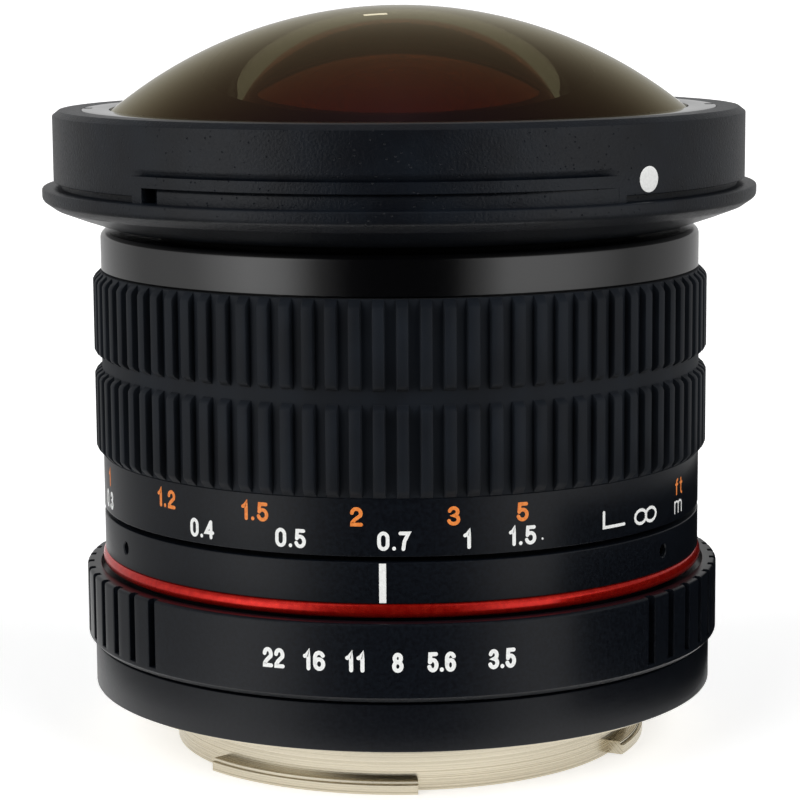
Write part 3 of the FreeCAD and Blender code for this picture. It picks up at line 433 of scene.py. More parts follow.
def grip_grooves(azimuth, radius, height):
    """Point of the ring's profile, moved in where a groove is."""
    if radius < ring_radius - groove_depth or height < groove_foot - groove_lip:
        return radius, height
    nearest = round((azimuth - first_groove) / groove_pitch)
    aside = abs(azimuth - groove_azimuths[max(0, min(nearest, groove_count - 1))])
    into = math.radians(groove_sweep / 2 - aside) * ring_radius
    cut = depth_at(min(into, height - groove_foot), groove_depth, groove_lip)
    return min(radius, ring_radius - cut), height


satin_black = black_anodise(
    "satin_black_anodised_aluminium", "#090B10", "#0F1319", low=0.28, high=0.36, spacing=0.25, depth=0.004,
)
aperture = turned(
    "aperture_control_ring", ring_profile, satin_black,
    azimuths_for(grooves, ring_radius, groove_lip, count=180), grip_grooves,
)
fit(aperture, "aperture_control", "black_anodised", "aperture_ring")


# Marks: the numbers are cut into the rings, filled with enamel and wiped level, so each stands one or
# two hundredths of a millimetre proud of the metal.
def enamel(name, dark, light):
    """Paint wiped into an engraving: nearly even in colour, thinner here and there."""
    return mottled(name, {"Roughness": 0.45}, 0.25, 2.0, 0.35, dark, light, relief=(0.005, 0.4))[0]


white_enamel = enamel("white_enamel_fill", "#F2F3F1", "#FDFEFC")
orange_enamel = enamel("orange_enamel_fill", "#E97F34", "#F8954A")


def arc(middle_x, middle_y, wide, tall, first, last, steps=14):
    """Points along an ellipse between two angles in degrees."""
    swing = [math.radians(first + (last - first) * k / steps) for k in range(steps + 1)]
    return [(middle_x + wide * math.cos(turn), middle_y + tall * math.sin(turn)) for turn in swing]


# Path of the cutter for each figure in a box one wide and one high, with the box's share of the width
figures = {
    "0": (1.0, [arc(0.5, 0.68, 0.5, 0.32, 0, 180) + arc(0.5, 0.32, 0.5, 0.32, 180, 360) + [(1.0, 0.68)]]),
    "1": (0.5, [[(0.0, 0.76), (0.45, 0.82), (0.85, 1.0), (0.85, 0.0)]]),
    "2": (1.0, [arc(0.5, 0.71, 0.48, 0.29, 175, -28) + [(0.3, 0.3), (0.05, 0.12), (0.03, 0.0), (1.0, 0.0)]]),
    "3": (1.0, [arc(0.48, 0.76, 0.44, 0.24, 165, -90) + arc(0.48, 0.26, 0.52, 0.26, 90, -165)]),
    "4": (1.1, [[(0.72, 1.0), (0.0, 0.3), (1.0, 0.3)], [(0.74, 1.0), (0.74, 0.0)]]),
    "5": (1.0, [[(0.92, 1.0), (0.14, 1.0), (0.08, 0.5)], arc(0.48, 0.32, 0.52, 0.32, 142, -162)]),
    "6": (1.0, [arc(0.5, 0.7, 0.5, 0.3, 25, 180) + arc(0.5, 0.3, 0.5, 0.3, 180, 540)]),
    "7": (0.95, [[(0.0, 1.0), (1.0, 1.0), (0.5, 0.5), (0.36, 0.0)]]),
    "8": (1.0, [arc(0.5, 0.77, 0.42, 0.23, -90, 270), arc(0.5, 0.27, 0.5, 0.27, 90, 450)]),
    ".": (0.0, [[(0.5, 0.02), (0.5, 0.0)]]),
    "f": (0.6, [arc(1.0, 0.8, 0.55, 0.2, 90, 180) + [(0.45, 0.0)], [(0.0, 0.68), (1.0, 0.68)]]),
    "t": (0.6, [[(0.4, 1.0), (0.4, 0.2)] + arc(0.9, 0.2, 0.5, 0.2, 180, 270), [(0.0, 0.72), (1.0, 0.72)]]),
    "m": (1.0, [[(0.0, 0.0), (0.0, 1.0)], arc(0.25, 0.7, 0.25, 0.3, 180, 0) + [(0.5, 0.0)],
                arc(0.75, 0.7, 0.25, 0.3, 180, 0) + [(1.0, 0.0)]]),
    "endless": (1.0, [arc(0.26, 0.5, 0.26, 0.5, 0, 360), arc(0.74, 0.5, 0.26, 0.5, 180, 540)]),
    "corner": (1.0, [[(0.0, 1.0), (0.0, 0.0), (1.0, 0.0)]]),
}


def engraved(name, signs, finish, radius, azimuth, height, wide, tall, pen=0.37):
    """Signs cut by a round-tipped pen and filled, in one piece of a given size in mm. Each stroke stands
    a little higher than the one before, so that no two faces lie in one place."""
    shape = bmesh.new()
    gap = 0.75
    shares = [figures[sign][0] for sign in signs]
    unit = (wide - pen) / (sum(shares) + gap * (len(signs) - 1) + 0.001)
    start, layer = -(wide - pen) / 2, 0
    for sign, share in zip(signs, shares):
        for path in figures[sign][1]:
            line = [Vector((start + x * share * unit, (y - 0.5) * (tall - pen))) for x, y in path]
            if not share:
                line = [Vector((start, line[0].y + 0.03)), Vector((start, line[0].y))]
            layer += 1
            cut_line(shape, line, pen, radius, azimuth, height, 0.012 + 0.002 * layer)
        start += (share + gap) * unit
    return solid(name, shape, finish)


def cut_line(shape, line, pen, radius, azimuth, height, proud):
    """One stroke of the pen along a flat line, bent onto the barrel, with round ends."""
    cap, longest, least_turn = 7, 0.5, 0.45
    fine = [line[0]]
    for near, far in zip(line, line[1:]):
        parts = math.ceil((far - near).length / longest)
        fine += [near.lerp(far, (k + 1) / parts) for k in range(parts) if (far - near).length > 0.01]
    line = fine
    ways = [(b - a).normalized() for a, b in zip(line, line[1:])]
    left, right = [], []
    for k, point in enumerate(line):
        before, after = ways[max(k - 1, 0)], ways[min(k, len(ways) - 1)]
        way = (before + after).normalized()
        reach = pen / 2 / max(way.dot(after), least_turn)
        side = Vector((-way.y, way.x)) * reach
        left.append(point + side)
        right.append(point - side)
    closed = (line[0] - line[-1]).length < 0.02
    ends = []
    for point, way in ((line[-1], ways[-1]), (line[0], -ways[0])):
        side = Vector((way.y, -way.x))
        swing = [math.pi * k / (cap + 1) for k in range(1, cap + 1)]
        ends.append([point + (side * math.cos(turn) + way * math.sin(turn)) * pen / 2 for turn in swing])
    low, high = [], []
    for level, row in ((-0.02, low), (proud, high)):
        for point in left + ends[0][::-1] + right[::-1] + ends[1][::-1]:
            turn = azimuth + math.degrees(point.x / radius)
            row.append(shape.verts.new(place(radius + level, turn, height + point.y)))
    count = len(left)
    for k in range(count - 1):
        back = 2 * count + cap - 1 - k
        shape.faces.new((high[k], high[k + 1], high[back - 1], high[back]))
    if not closed:
        shape.faces.new(high[count - 1:count + cap + 1])
        shape.faces.new(high[2 * count + cap - 1:] + high[:1])
    for k in range(len(high)):
        shape.faces.new((high[k - 1], high[k], low[k], low[k - 1]))


# Azimuth and width of each f-number
aperture_figures = [
    ("22", -22.1, 2.4), ("16", -15.0, 2.3), ("11", -8.1, 2.0),
    ("8", -1.1, 1.15), ("5.6", 6.1, 2.87), ("3.5", 16.3, 2.9),
]
figure_height, figure_tall, figure_pen = 10.12, 2.05, 0.41
for signs, azimuth, wide in aperture_figures:
    figure = engraved(
        "aperture_mark_" + signs.replace(".", "_"), signs, white_enamel,
        ring_radius, azimuth, figure_height, wide, figure_tall, figure_pen,
    )
    fit(figure, "aperture_control", None)

# Red bead: an aluminium hoop pressed against the foot of the index band. It is enamelled in a
# clear red over the metal, so its crown burns bright where the light catches it.
red_enamel, tree, shader, where, _ = mottled(
    "red_enamel_on_aluminium",
    {"Metallic": 0.82, "Roughness": 0.26, "Coat Weight": 0.4, "Coat Roughness": 0.08},
    0.6, 2.0, 0.35, "#D41810", "#EA2A1C",
)
marks = tool_marks(tree, where, 0.3)
ridges = add(tree, "ShaderNodeBump", {"Height": marks, "Distance": 0.004 * mm, "Strength": 0.4})
feed(shader, {"Normal": ridges})
bead_seat, bead_crown, bead_bottom, bead_top, bead_round = 31.58, 32.98, 14.1, 15.6, 0.6
bead_middle, bead_half = (bead_bottom + bead_top) / 2, 0.75
crown = []
for k in range(13):
    swing = math.radians(-90 + 15 * k)
    reach = bead_crown - bead_round + bead_round * math.cos(swing)
    crown.append((reach, bead_middle + bead_half * math.sin(swing)))
bead = turned("red_bead", [(bead_seat, bead_bottom)] + crown + [(bead_seat, bead_top)], red_enamel)
fit(bead, "barrel", "red_enamel", "red_ring")

# Index barrel: a thin aluminium turning that is screwed to the rear shell. Its band carries the index
# line and three grub screws, and its long neck inside is what the focus ring turns on.
band_radius, band_bottom, band_middle, band_top = 32.7, 15.6, 17.7, 19.8
grub_azimuths, grub_bore = (-63.5, 56.5, 176.5), 0.65
index_barrel = turned("index_band", rounded([
    (25.98, 5.0, 0),
    (28.58, 5.0, 0),
    (28.58, 4.0, 0),
    (30.38, 4.0, 0.1),
    (30.38, bead_bottom, 0),
    (bead_seat, bead_bottom, 0),
    (bead_seat, band_bottom, 0),
    (band_radius, band_bottom, 0.1),
    (band_radius, band_top, 0.14),
    (29.98, band_top, 0),
    (29.98, 45.0, 0.1),
    (28.58, 45.0, 0.1),
    (28.58, 6.0, 0),
    (25.98, 6.0, 0),
]), satin_black)


def round_plugs(name, profile, finish, azimuths, height):
    """Plugs with a profile of (radius, distance from the axis), lying along a radius at each azimuth."""
    shape = bmesh.new()
    for azimuth in azimuths:
        out, up = place(1, azimuth, 0), place(0, 0, 1)
        side = Vector((0, 0, 1)).cross(out)
        turns = [math.tau * k / 32 for k in range(32)]
        spread = [side * math.cos(turn) + up * math.sin(turn) for turn in turns]
        rings = []
        for radius, reach in profile:
            rings.append([out * reach + way * radius + up * height for way in spread])
        lofted(shape, rings)
    return solid(name, shape, finish)


bored(index_barrel, round_plugs(
    "grub_bores", [(grub_bore, 30.95), (grub_bore, 32.58), (grub_bore + 0.5, 33.08)],
    inner_black, grub_azimuths, band_middle,
))
fit(index_barrel, "barrel", "black_anodised", "index_barrel")

# Grub screws: steel, each with a small socket and let in below the band. They are blackened in a hot
# oxide bath, so they stay a dark metal that is a little cloudy.
black_steel = mottled(
    "blackened_steel", {"Metallic": 1.0}, 0.3, 3.0, 0.3, "#1B1C1E", "#2A2B2E", (0.35, 0.5),
)[0]
grub_screws = round_plugs(
    "grub_screws", [(0.5, 31.05), (0.6, 31.15), (0.6, 32.27), (0.52, 32.35), (0.3, 32.35), (0.26, 31.75)],
    black_steel, grub_azimuths, band_middle,
)
fit(grub_screws, "barrel", "black_screws", "set_screws")
refinish(black_steel, "iris_rotor", *[f"iris_blade_{k}" for k in range(1, 7)])

# Index line: one straight stroke engraved in the index barrel and filled with white enamel. It stands
# nearly the full height of the band, and is drawn in two lengths so that it bends with the barrel.
index_azimuth, index_width, index_length, index_proud = -3.7, 0.7, 4.0, 0.015
low, high = band_middle - index_length / 2, band_middle + index_length / 2
inside, outside = band_radius - index_proud, band_radius + index_proud
rings = []
for aside in (-index_width / 2, 0.0, index_width / 2):
    azimuth = index_azimuth + math.degrees(aside / band_radius)
    corners = [(inside, low), (outside, low), (outside, high), (inside, high)]
    rings.append([place(radius, azimuth, height) for radius, height in corners])
shape = bmesh.new()
lofted(shape, rings)
fit(solid("index_line", shape, white_enamel), "barrel", None)

# Focus sleeve: the barrel that the hand turns. Its plain band carries the distance scales, in
# orange for feet and white for metres, and its upper inside is the helicoid's nut.
scale_bottom, grip_seat, grip_bottom, grip_top, collar_seat, nut_top = 20.35, 31.8, 26.25, 46.1, 31.5, 49.9
sleeve = turned("focus_scale_sleeve", rounded([
    (30.04, scale_bottom, 0),
    (band_radius, scale_bottom, 0.14),
    (band_radius, grip_bottom, 0.1),
    (grip_seat, grip_bottom, 0),
    (grip_seat, grip_top, 0),
    (collar_seat, grip_top, 0),
    (collar_seat, nut_top, 0),
    (26.04, nut_top, 0.1),
    (26.04, 45.2, 0.1),
    (30.04, 45.2, 0),
]), satin_black)
fit(sleeve, "focus_ring", "black_anodised", "focus_sleeve")

# Azimuth and width of each distance
feet = [
    ("1", -73.2, 0.85), ("1.2", -48.0, 2.95), ("1.5", -27.1, 3.1),
    ("2", -8.2, 1.3), ("3", 8.8, 1.3), ("5", 21.4, 1.3),
]
metres = [
    ("0.3", -73.6, 3.3), ("0.4", -38.7, 3.25), ("0.5", -20.2, 3.3),
    ("0.7", -1.7, 3.3), ("1", 11.2, 0.85), ("1.5", 21.4, 3.0),
]
distance_tall = 1.95
scales = [("feet_", feet, orange_enamel, 24.42), ("metres_", metres, white_enamel, 21.98)]
for unit, scale, finish, height in scales:
    for signs, azimuth, wide in scale:
        name = unit + signs.replace(".", "_")
        figure = engraved(name, signs, finish, band_radius, azimuth, height, wide, distance_tall)
        fit(figure, "focus_ring", None)
for name, signs, finish, azimuth, height, wide, tall, pen in [
    ("feet_unit", "ft", orange_enamel, 63.3, 23.95, 2.1, 1.8, 0.26),
    ("metres_unit", "m", white_enamel, 63.0, 21.8, 2.1, 1.4, 0.2),
    ("endless_sign", ["endless"], white_enamel, 50.3, 22.05, 4.1, 1.75, 0.32),
    ("stop_corner", ["corner"], white_enamel, 41.3, 22.5, 3.3, 1.9, 0.32),
    ("metres_point", ".", white_enamel, 25.3, 21.5, 0.23, 0.26, 0.2),
]:
    fit(engraved(name, signs, finish, band_radius, azimuth, height, wide, tall, pen), "focus_ring", None)

# Grip: a sleeve of moulded rubber stretched over the focus barrel, with two rows of 88 ribs. The
# ribs are flat topped with soft edges, and slope down at both ends and at the waist between the rows.
rib_count, rib_top, grip_floor, rib_width = 88, 33.45, 32.65, 1.2
# Bottom, top and the length of the slope at each end of both rows
rib_rows = [(grip_bottom, 35.65, 0.8, 0.6), (36.95, grip_top, 0.6, 0.8)]
# Rubber: matt and faintly grey, with the fine grain of the mould and a trace of dust and handling.
moulded_rubber, tree, shader, where, _ = mottled(
    "moulded_grip_rubber",
    {"IOR": 1.5, "Specular IOR Level": 0.35, "Sheen Weight": 0.03, "Sheen Roughness": 0.5},
    6.0, 5.0, 0.35, "#0D1117", "#141920", (0.55, 0.66),
)
grit = add(tree, "ShaderNodeTexNoise", {"Vector": where, "Scale": 1000 / 0.18, "Detail": 2.0})
grain = add(tree, "ShaderNodeBump", {"Height": grit, "Distance": 0.012 * mm, "Strength": 0.7})
feed(shader, {"Normal": grain})

full, half, edge = rib_top - grip_floor, rib_width / 2, 0.16
foot = (half + 0.02, -0.06)
shape = bmesh.new()
for bottom, top, foot_slope, head_slope in rib_rows:
    stations = [
        (bottom, -0.03), (bottom + foot_slope - edge, full - edge), (bottom + foot_slope + edge, full),
        (top - head_slope - edge, full), (top - head_slope + edge, full - edge), (top, -0.03),
    ]
    rings = []
    for height, rise in stations:
        soft = min(edge, max(rise, 0) * 0.5)
        right = [(half - soft, rise), (half - soft * 0.3, rise - soft * 0.3), (half, rise - soft), foot]
        left = [(-x, z) for x, z in reversed(right)]
        rings.append([Vector((x, -grip_floor - z, height)) * mm for x, z in left + right])
    lofted(shape, rings)
grip = solid("grip_ribs", shape, moulded_rubber)

ribs_round = bpy.data.node_groups.new("ribs_round_the_grip", "GeometryNodeTree")
sockets = [("Rib", "Geometry", "INPUT"), ("Ribs Round", "Int", "INPUT"), ("Ribs", "Geometry", "OUTPUT")]
for name, kind, way in sockets:
    ribs_round.interface.new_socket(name, in_out=way, socket_type="NodeSocket" + kind)
given = add(ribs_round, "NodeGroupInput")
count = given.outputs["Ribs Round"]
points = add(ribs_round, "GeometryNodeMeshLine", {"Count": count, "Offset": (0, 0, 0)})
pitch = add(ribs_round, "ShaderNodeMath", {0: math.tau, 1: count}, operation="DIVIDE")
order = add(ribs_round, "GeometryNodeInputIndex")
turn = add(ribs_round, "ShaderNodeMath", {0: order, 1: pitch}, operation="MULTIPLY")
upright = add(ribs_round, "ShaderNodeCombineXYZ", {"Z": turn})
spun = add(
    ribs_round, "GeometryNodeInstanceOnPoints",
    {"Points": points, "Instance": given.outputs["Rib"], "Rotation": upright},
)
whole = add(ribs_round, "GeometryNodeRealizeInstances", {0: spun})
rubbered = add(ribs_round, "GeometryNodeSetMaterial", {"Geometry": whole, "Material": moulded_rubber})
add(ribs_round, "NodeGroupOutput", {"Ribs": rubbered})
growth = grip.modifiers.new("ribs_round", "NODES")
growth.node_group = ribs_round
for item in ribs_round.interface.items_tree:
    if item.name == "Ribs Round":
        growth[item.identifier] = rib_count
settled(grip, growth)
fit(grip, "focus_ring", "grip_rubber")
grip_sleeve = turned("grip_rubber_sleeve", rounded([
    (grip_seat, grip_bottom, 0),
    (grip_floor, grip_bottom, 0.1),
    (grip_floor, grip_top, 0.1),
    (grip_seat, grip_top, 0),
]), moulded_rubber)
fit(grip_sleeve, "focus_ring", "grip_rubber", "rubber_grip")

# Collar: an aluminium ring turned with a round shoulder and anodised over a finer cut than the rest,
# so it alone shows the soft lights on both sides as two grey fields with a dark middle.
fine_black = black_anodise(
    "fine_turned_black_anodised_aluminium", "#020203", "#040406",
    low=0.14, high=0.2, spacing=0.12, depth=0.002, index=1.9, specular=0.5,
)
collar_radius, collar_bottom, collar_top = 32.55, 46.3, 50.5
collar = turned("front_collar_ring", rounded([
    (collar_seat, collar_bottom, 0),
    (collar_radius, collar_bottom, 0.1),
    (collar_radius, collar_top, 0.8),
    (26.84, collar_top, 0.1),
    (26.84, nut_top, 0),
    (collar_seat, nut_top, 0),
], 6), fine_black)
fit(collar, "focus_ring", "satin_collar", "front_collar")

# Front ring: one moulding of black plastic round the dome, with a spark-eroded grain on every face.
# A clip-on hood slides over its wall until it meets the flange, and locks into the two long channels.
hood_radius, flange_radius, flange_top, wall_top, front_top = 37.4, 38.65, 55.2, 62.85, 63.4
wall_inside, cuts_end = 34.3, 58.5
# Cuts in the wall: the channel, which runs out flat to the right and is cut under along its top, the lock
# window at its left end and the line at the wall's foot. Each is given as start, sweep, bottom, top, depth
# and lip, and comes again half a turn round. So does the soft dip above the rail over the channel.
channel_start, channel_top, channel_depth, channel_run_out = -43.5, 56.7, 0.45, 14.0
undercut_reach, undercut_depth = 0.3, 0.16
rail_top, dip_reach, dip_depth, dip_run_in = 57.9, 0.8, 0.36, 1.5
front_cuts, rail_dips = [], []
for half_turn in (0, 180):
    front_cuts += [
        (channel_start + half_turn, 78.3, 50.0, channel_top, channel_depth, 0.09),
        (channel_start + half_turn, 2.7, 50.0, channel_top, 1.8, 0.07),
        (36.4 + half_turn, 97.8, 50.0, 55.85, 0.8, 0.08),
    ]
    rail_dips.append((-45.6 + half_turn, 80.2))
wall_heights = {flange_top, rail_top - 0.03}
for step in range(1, 7):
    wall_heights |= {channel_top - undercut_reach * step / 6, rail_top + dip_reach * (step - 1) / 5}
for start, sweep, bottom, top, depth, lip in front_cuts:
    for offset in edge_offsets(lip):
        wall_heights |= {round(top - offset, 4), round(bottom + offset, 4)}
wall_rows = [(hood_radius, height, 0) for height in sorted(wall_heights) if height >= flange_top]
front_profile = rounded([
    (30.55, 51.1, 0.1),
    (31.9, 51.1, 0.12),
    (34.95, 52.12, 0.8),
    (hood_radius - 0.1, 53.0, 1.0),
    (flange_radius, 53.95, 0.7),
    (flange_radius, flange_top, 0.25),
] + wall_rows + [
    (hood_radius, wall_top, 0.12),
    (hood_radius - 0.7, front_top, 0.12),
    (wall_inside, front_top, 0.08),
    (wall_inside, 61.6, 0),
    (33.0, 61.6, 0),
    (33.0, 60.6, 0),
    (32.05, 60.6, 0),
    (32.05, 58.5, 0),
    (27.5, 58.5, 0),
    (27.5, 53.5, 0),
    (30.55, 53.5, 0),
])


def hood_channels(azimuth, radius, height):
    """Point of the front ring's profile, moved in by the deepest of the cuts and dips there."""
    if height < flange_top - 0.001 or height > cuts_end or radius < wall_inside:
        return radius, height
    depths = [0.0]
    for start, sweep, bottom, top, depth, lip in front_cuts:
        into = min(arc_into(azimuth, start, sweep, hood_radius), height - bottom, top - height)
        cut = depth_at(into, depth, lip)
        if depth == channel_depth:
            to_right = math.radians((start + sweep - azimuth) % 360) * hood_radius
            if into >= cut_wall:
                cut += undercut_depth * max(0.0, 1 - (top - height) / undercut_reach)
            cut *= min(1.0, to_right / channel_run_out)
        depths.append(cut)
    if rail_top <= height <= rail_top + dip_reach:
        into = max(arc_into(azimuth, *dip, hood_radius) for dip in rail_dips)
        run_in = max(0.0, min(1.0, into / dip_run_in))
        depths.append(dip_depth * (1 - (height - rail_top) / dip_reach) ** 1.5 * run_in)
    return min(radius, hood_radius - max(depths)), height


# Moulded plastic, black right through, with a dull broken shine. The grain is really about 0.15 mm across
# and is drawn at 0.28 mm so that it shows, with a few deeper pits.
grained_plastic, tree, shader, where, _ = mottled(
    "grained_moulded_plastic", {"IOR": 1.5, "Specular IOR Level": 0.42},
    5.0, 4.0, 0.35, "#090C12", "#0F141B",
)
grit = add(tree, "ShaderNodeTexNoise", {"Vector": where, "Scale": 1000 / 0.28, "Detail": 4.0})
cells = add(tree, "ShaderNodeTexVoronoi", {"Vector": where, "Scale": 1000 / 0.7})
pits = add(tree, "ShaderNodeMapRange", {0: cells, 1: 0.04, 2: 0.16, 3: -1.2, 4: 0.0})
relief = add(tree, "ShaderNodeMath", {0: grit, 1: pits}, operation="ADD")
gloss = add(tree, "ShaderNodeMapRange", {0: grit, 3: 0.3, 4: 0.5})
grain = add(tree, "ShaderNodeBump", {"Height": relief, "Distance": 0.05 * mm, "Strength": 0.9})
feed(shader, {"Roughness": gloss, "Normal": grain})
front_ring = turned(
    "hood_mount_ring", front_profile, grained_plastic,
    azimuths_for([cut[:2] for cut in front_cuts], hood_radius, lip=0.07, count=288), hood_channels,
)
fit(front_ring, "lens_cell", "moulded_black", "front_ring")

# White dot: a shallow drilled spot filled with enamel, where the hood's own mark comes to stand.
dot_azimuth, dot_height = 41.0, 57.35
rings = []
for reach, proud in ((1.3, -0.015), (1.3, 0.01), (1.22, 0.025), (0.6, 0.03), (0.0, 0.03)):
    ring = []
    for k in range(40):
        turn = math.tau * k / 40
        azimuth = dot_azimuth + math.degrees(reach * math.cos(turn) / hood_radius)
        ring.append(place(hood_radius + proud, azimuth, dot_height + reach * math.sin(turn)))
    rings.append(ring)
shape = bmesh.new()
lofted(shape, rings, ends=(0,))
fit(solid("hood_alignment_dot", shape, white_enamel), "lens_cell", None)

# Front retainer: a threaded aluminium ring that holds the dome down on its seal. Its face is turned
# smooth and anodised, so it mirrors the white behind it. Two notches in its rim take a pin spanner.
faced_black = black_anodise(
    "faced_black_anodised_aluminium", "#07080A", "#0C0E11",
    low=0.03, high=0.07, spacing=0.2, depth=0.0004, index=2.2, specular=0.6,
)
rim_radius, notch_width, notch_inside, notch_depth, notch_lip = 34.25, 1.6, 33.3, 0.7, 0.05
notch_sweep = math.degrees(notch_width / rim_radius)
notches = [(azimuth - notch_sweep / 2, notch_sweep) for azimuth in (90, 270)]


def spanner_notches(azimuth, radius, height):
    """Point of the retainer's profile, lowered where a notch is."""
    if radius < notch_inside - notch_lip or height < front_top - notch_depth:
        return radius, height
    into = max(arc_into(azimuth, *notch, rim_radius) for notch in notches)
    return radius, min(height, front_top - depth_at(min(into, radius - notch_inside), notch_depth, notch_lip))


retainer_profile = rounded([
    (31.3, 63.15, 0.05),
    (32.05, 62.55, 0),
    (32.05, 61.6, 0),
    (rim_radius, 61.6, 0),
    (rim_radius, front_top, 0.05),
] + [(notch_inside + offset, front_top, 0) for offset in reversed(edge_offsets(notch_lip))] + [
    (31.3, front_top, 0.05),
])
retainer = turned(
    "dome_retainer", retainer_profile, faced_black,
    azimuths_for(notches, rim_radius, notch_lip), spanner_notches,
)
fit(retainer, "lens_cell", "black_anodised", "front_retainer")

# Seal under the retainer: a square rubber ring, cut from tube. It keeps its solid.
cut_rubber = mottled(
    "cut_seal_rubber", {"Roughness": 0.7}, 0.2, 2.0, 0.3, "#101011", "#181819", relief=(0.01, 0.5),
)[0]
refinish(cut_rubber, "front_seal")


# Front glass: a thick polished dome with a deep hollow behind. Its edge and rear land are painted
# black, and both faces are coated. The dome glass is tinted dark olive as painted shade, which darkens
# all that is seen through it, and the hollow glass is tinted red as a painted reflection of its coating.
def coated_glass(name, tint, glint, ior, film, film_ior=1.38):
    """Polished optical glass under a thin coating, with its thickness in nm and the colour of its glint."""
    finish, tree, shader, where = surface(name, {
        "Base Color": linear(tint), "Roughness": 0.0, "Transmission Weight": 1.0, "IOR": ior,
        "Thin Film Thickness": film, "Thin Film IOR": film_ior, "Specular Tint": linear(glint),
    })
    haze = add(tree, "ShaderNodeTexNoise", {"Vector": where, "Scale": 1000 / 4.0, "Detail": 3.0})
    gloss = add(tree, "ShaderNodeMapRange", {0: haze, 3: 0.0, 4: 0.012})
    feed(shader, {"Roughness": gloss})
    return finish


# Dark olive tint: painted shade over all that is seen through the dome.
dome_glass = coated_glass("coated_dome_glass_painted_shade", "#403E2C", "#F2EFD8", 1.52, 330.0)
# Red tint: a painted reflection of the hollow's coating, used on the rear of the second glass as well.
hollow_glass = coated_glass("coated_hollow_glass_painted_reflection", "#FF9786", "#E08A5A", 1.52, 260.0)
edge_paint = mottled(
    "matt_black_edge_paint", {"Roughness": 0.8}, 0.5, 3.0, 0.3, "#15140D", "#1F1D14", relief=(0.01, 0.5),
)[0]


def polished(name, radius, hollow, rear_edge, rear_sag, front_edge, front_sag, finishes, steps=40):
    """Lens with a spherical front, a spherical hollow behind and a flat land round the hollow. A sag is
    how far the middle of a face stands forward of its edge."""
    def ground(reach, edge, sag):
        curve = (reach ** 2 + sag ** 2) / (2 * abs(sag))
        swing = math.asin(reach / curve) if abs(sag) < curve else math.pi - math.asin(reach / curve)
        sign = math.copysign(1, sag)
        points = []
        for k in range(steps + 1):
            turn = swing * k / steps
            points.append((curve * math.sin(turn), edge + sag - sign * curve * (1 - math.cos(turn))))
        return points
    rear = ground(hollow, rear_edge, rear_sag)
    front = ground(radius, front_edge, front_sag)[::-1]
    shape = bmesh.new()
    rows = []
    for azimuth in even_turn(192):
        section = rear + [(radius, rear_edge)] + front
        rows.append([shape.verts.new(place(reach, azimuth, height)) for reach, height in section])
    for k, row in enumerate(rows):
        last = rows[k - 1]
        for j in range(1, len(row)):
            face = shape.faces.new((last[j - 1], last[j], row[j], row[j - 1]))
            face.material_index = 1 if j < len(rear) else 2 if j < len(rear) + 2 else 0
    return solid(name, shape, *finishes)


dome_radius, dome_curve, hollow_radius, hollow_curve = 32.0, 49.3, 17.0, 20.0
dome_sag = dome_curve - math.sqrt(dome_curve ** 2 - dome_radius ** 2)
hollow_sag = hollow_curve - math.sqrt(hollow_curve ** 2 - hollow_radius ** 2)
dome = polished(
    "front_dome", dome_radius, hollow_radius, rear_edge=58.5, rear_sag=hollow_sag, front_edge=62.5,
    front_sag=dome_sag, finishes=(dome_glass, hollow_glass, edge_paint),
)
fit(dome, "lens_cell", "front_glass", "front_element")

# Second glass: a smaller meniscus in the cup of the front cell, coated for a gold glint.
second_front = coated_glass("coated_second_glass", "#F0D8A8", "#FFC070", 1.6, 220.0, 2.3)
second = polished(
    "second_glass", radius=16.5, hollow=10.5, rear_edge=52.0, rear_sag=6.8, front_edge=57.85,
    front_sag=3.1, finishes=(second_front, hollow_glass, edge_paint),
)
fit(second, "lens_cell", "lens_glass", "second_element")

# Glasses farther in: two single ones and three cemented pairs, each polished and coated for a green
# glint. They keep their solids.
deep_glass = coated_glass("coated_inner_glass", "#B7B290", "#A8C890", 1.6, 180.0)
refinish(
    deep_glass, "third_element", "fourth_element", "fifth_element", "sixth_element", "seventh_element",
    "eighth_element", "ninth_element", "tenth_element",
)

# Table: a strip of matt white board that runs away behind the object, with the faint tooth of its
# paper. It is little wider than the picture, so the barrels mirror the tent's walls and not the table.
# It glows a little to the eye, in reflections and through glass, and so stays as white as the tent.
board_white, tree, shader, *_ = mottled(
    "matt_white_board", {"Roughness": 0.9, "Specular IOR Level": 0.2, "Emission Color": (1, 1, 1, 1)},
    1.5, 3.0, 0.3, "#F2F2F2", "#F6F6F6",
)
path = add(tree, "ShaderNodeLightPath")
shown = add(
    tree, "ShaderNodeMath",
    {0: path.outputs["Is Camera Ray"], 1: path.outputs["Is Glossy Ray"]}, operation="MAXIMUM",
)
shown = add(tree, "ShaderNodeMath", {0: shown, 1: path.outputs["Is Transmission Ray"]}, operation="MAXIMUM")
glow = add(tree, "ShaderNodeMath", {0: shown, 1: 0.5}, operation="MULTIPLY")
feed(shader, {"Emission Strength": glow})
table_height, near_half, near_edge, far_half, far_edge = -0.00592, 0.05, -0.046, 6.6, 40
corners = [(-near_half, near_edge), (near_half, near_edge), (far_half, far_edge), (-far_half, far_edge)]
shape = bmesh.new()
shape.faces.new([shape.verts.new((x, y, table_height)) for x, y in corners])
solid("white_board", shape, board_white)

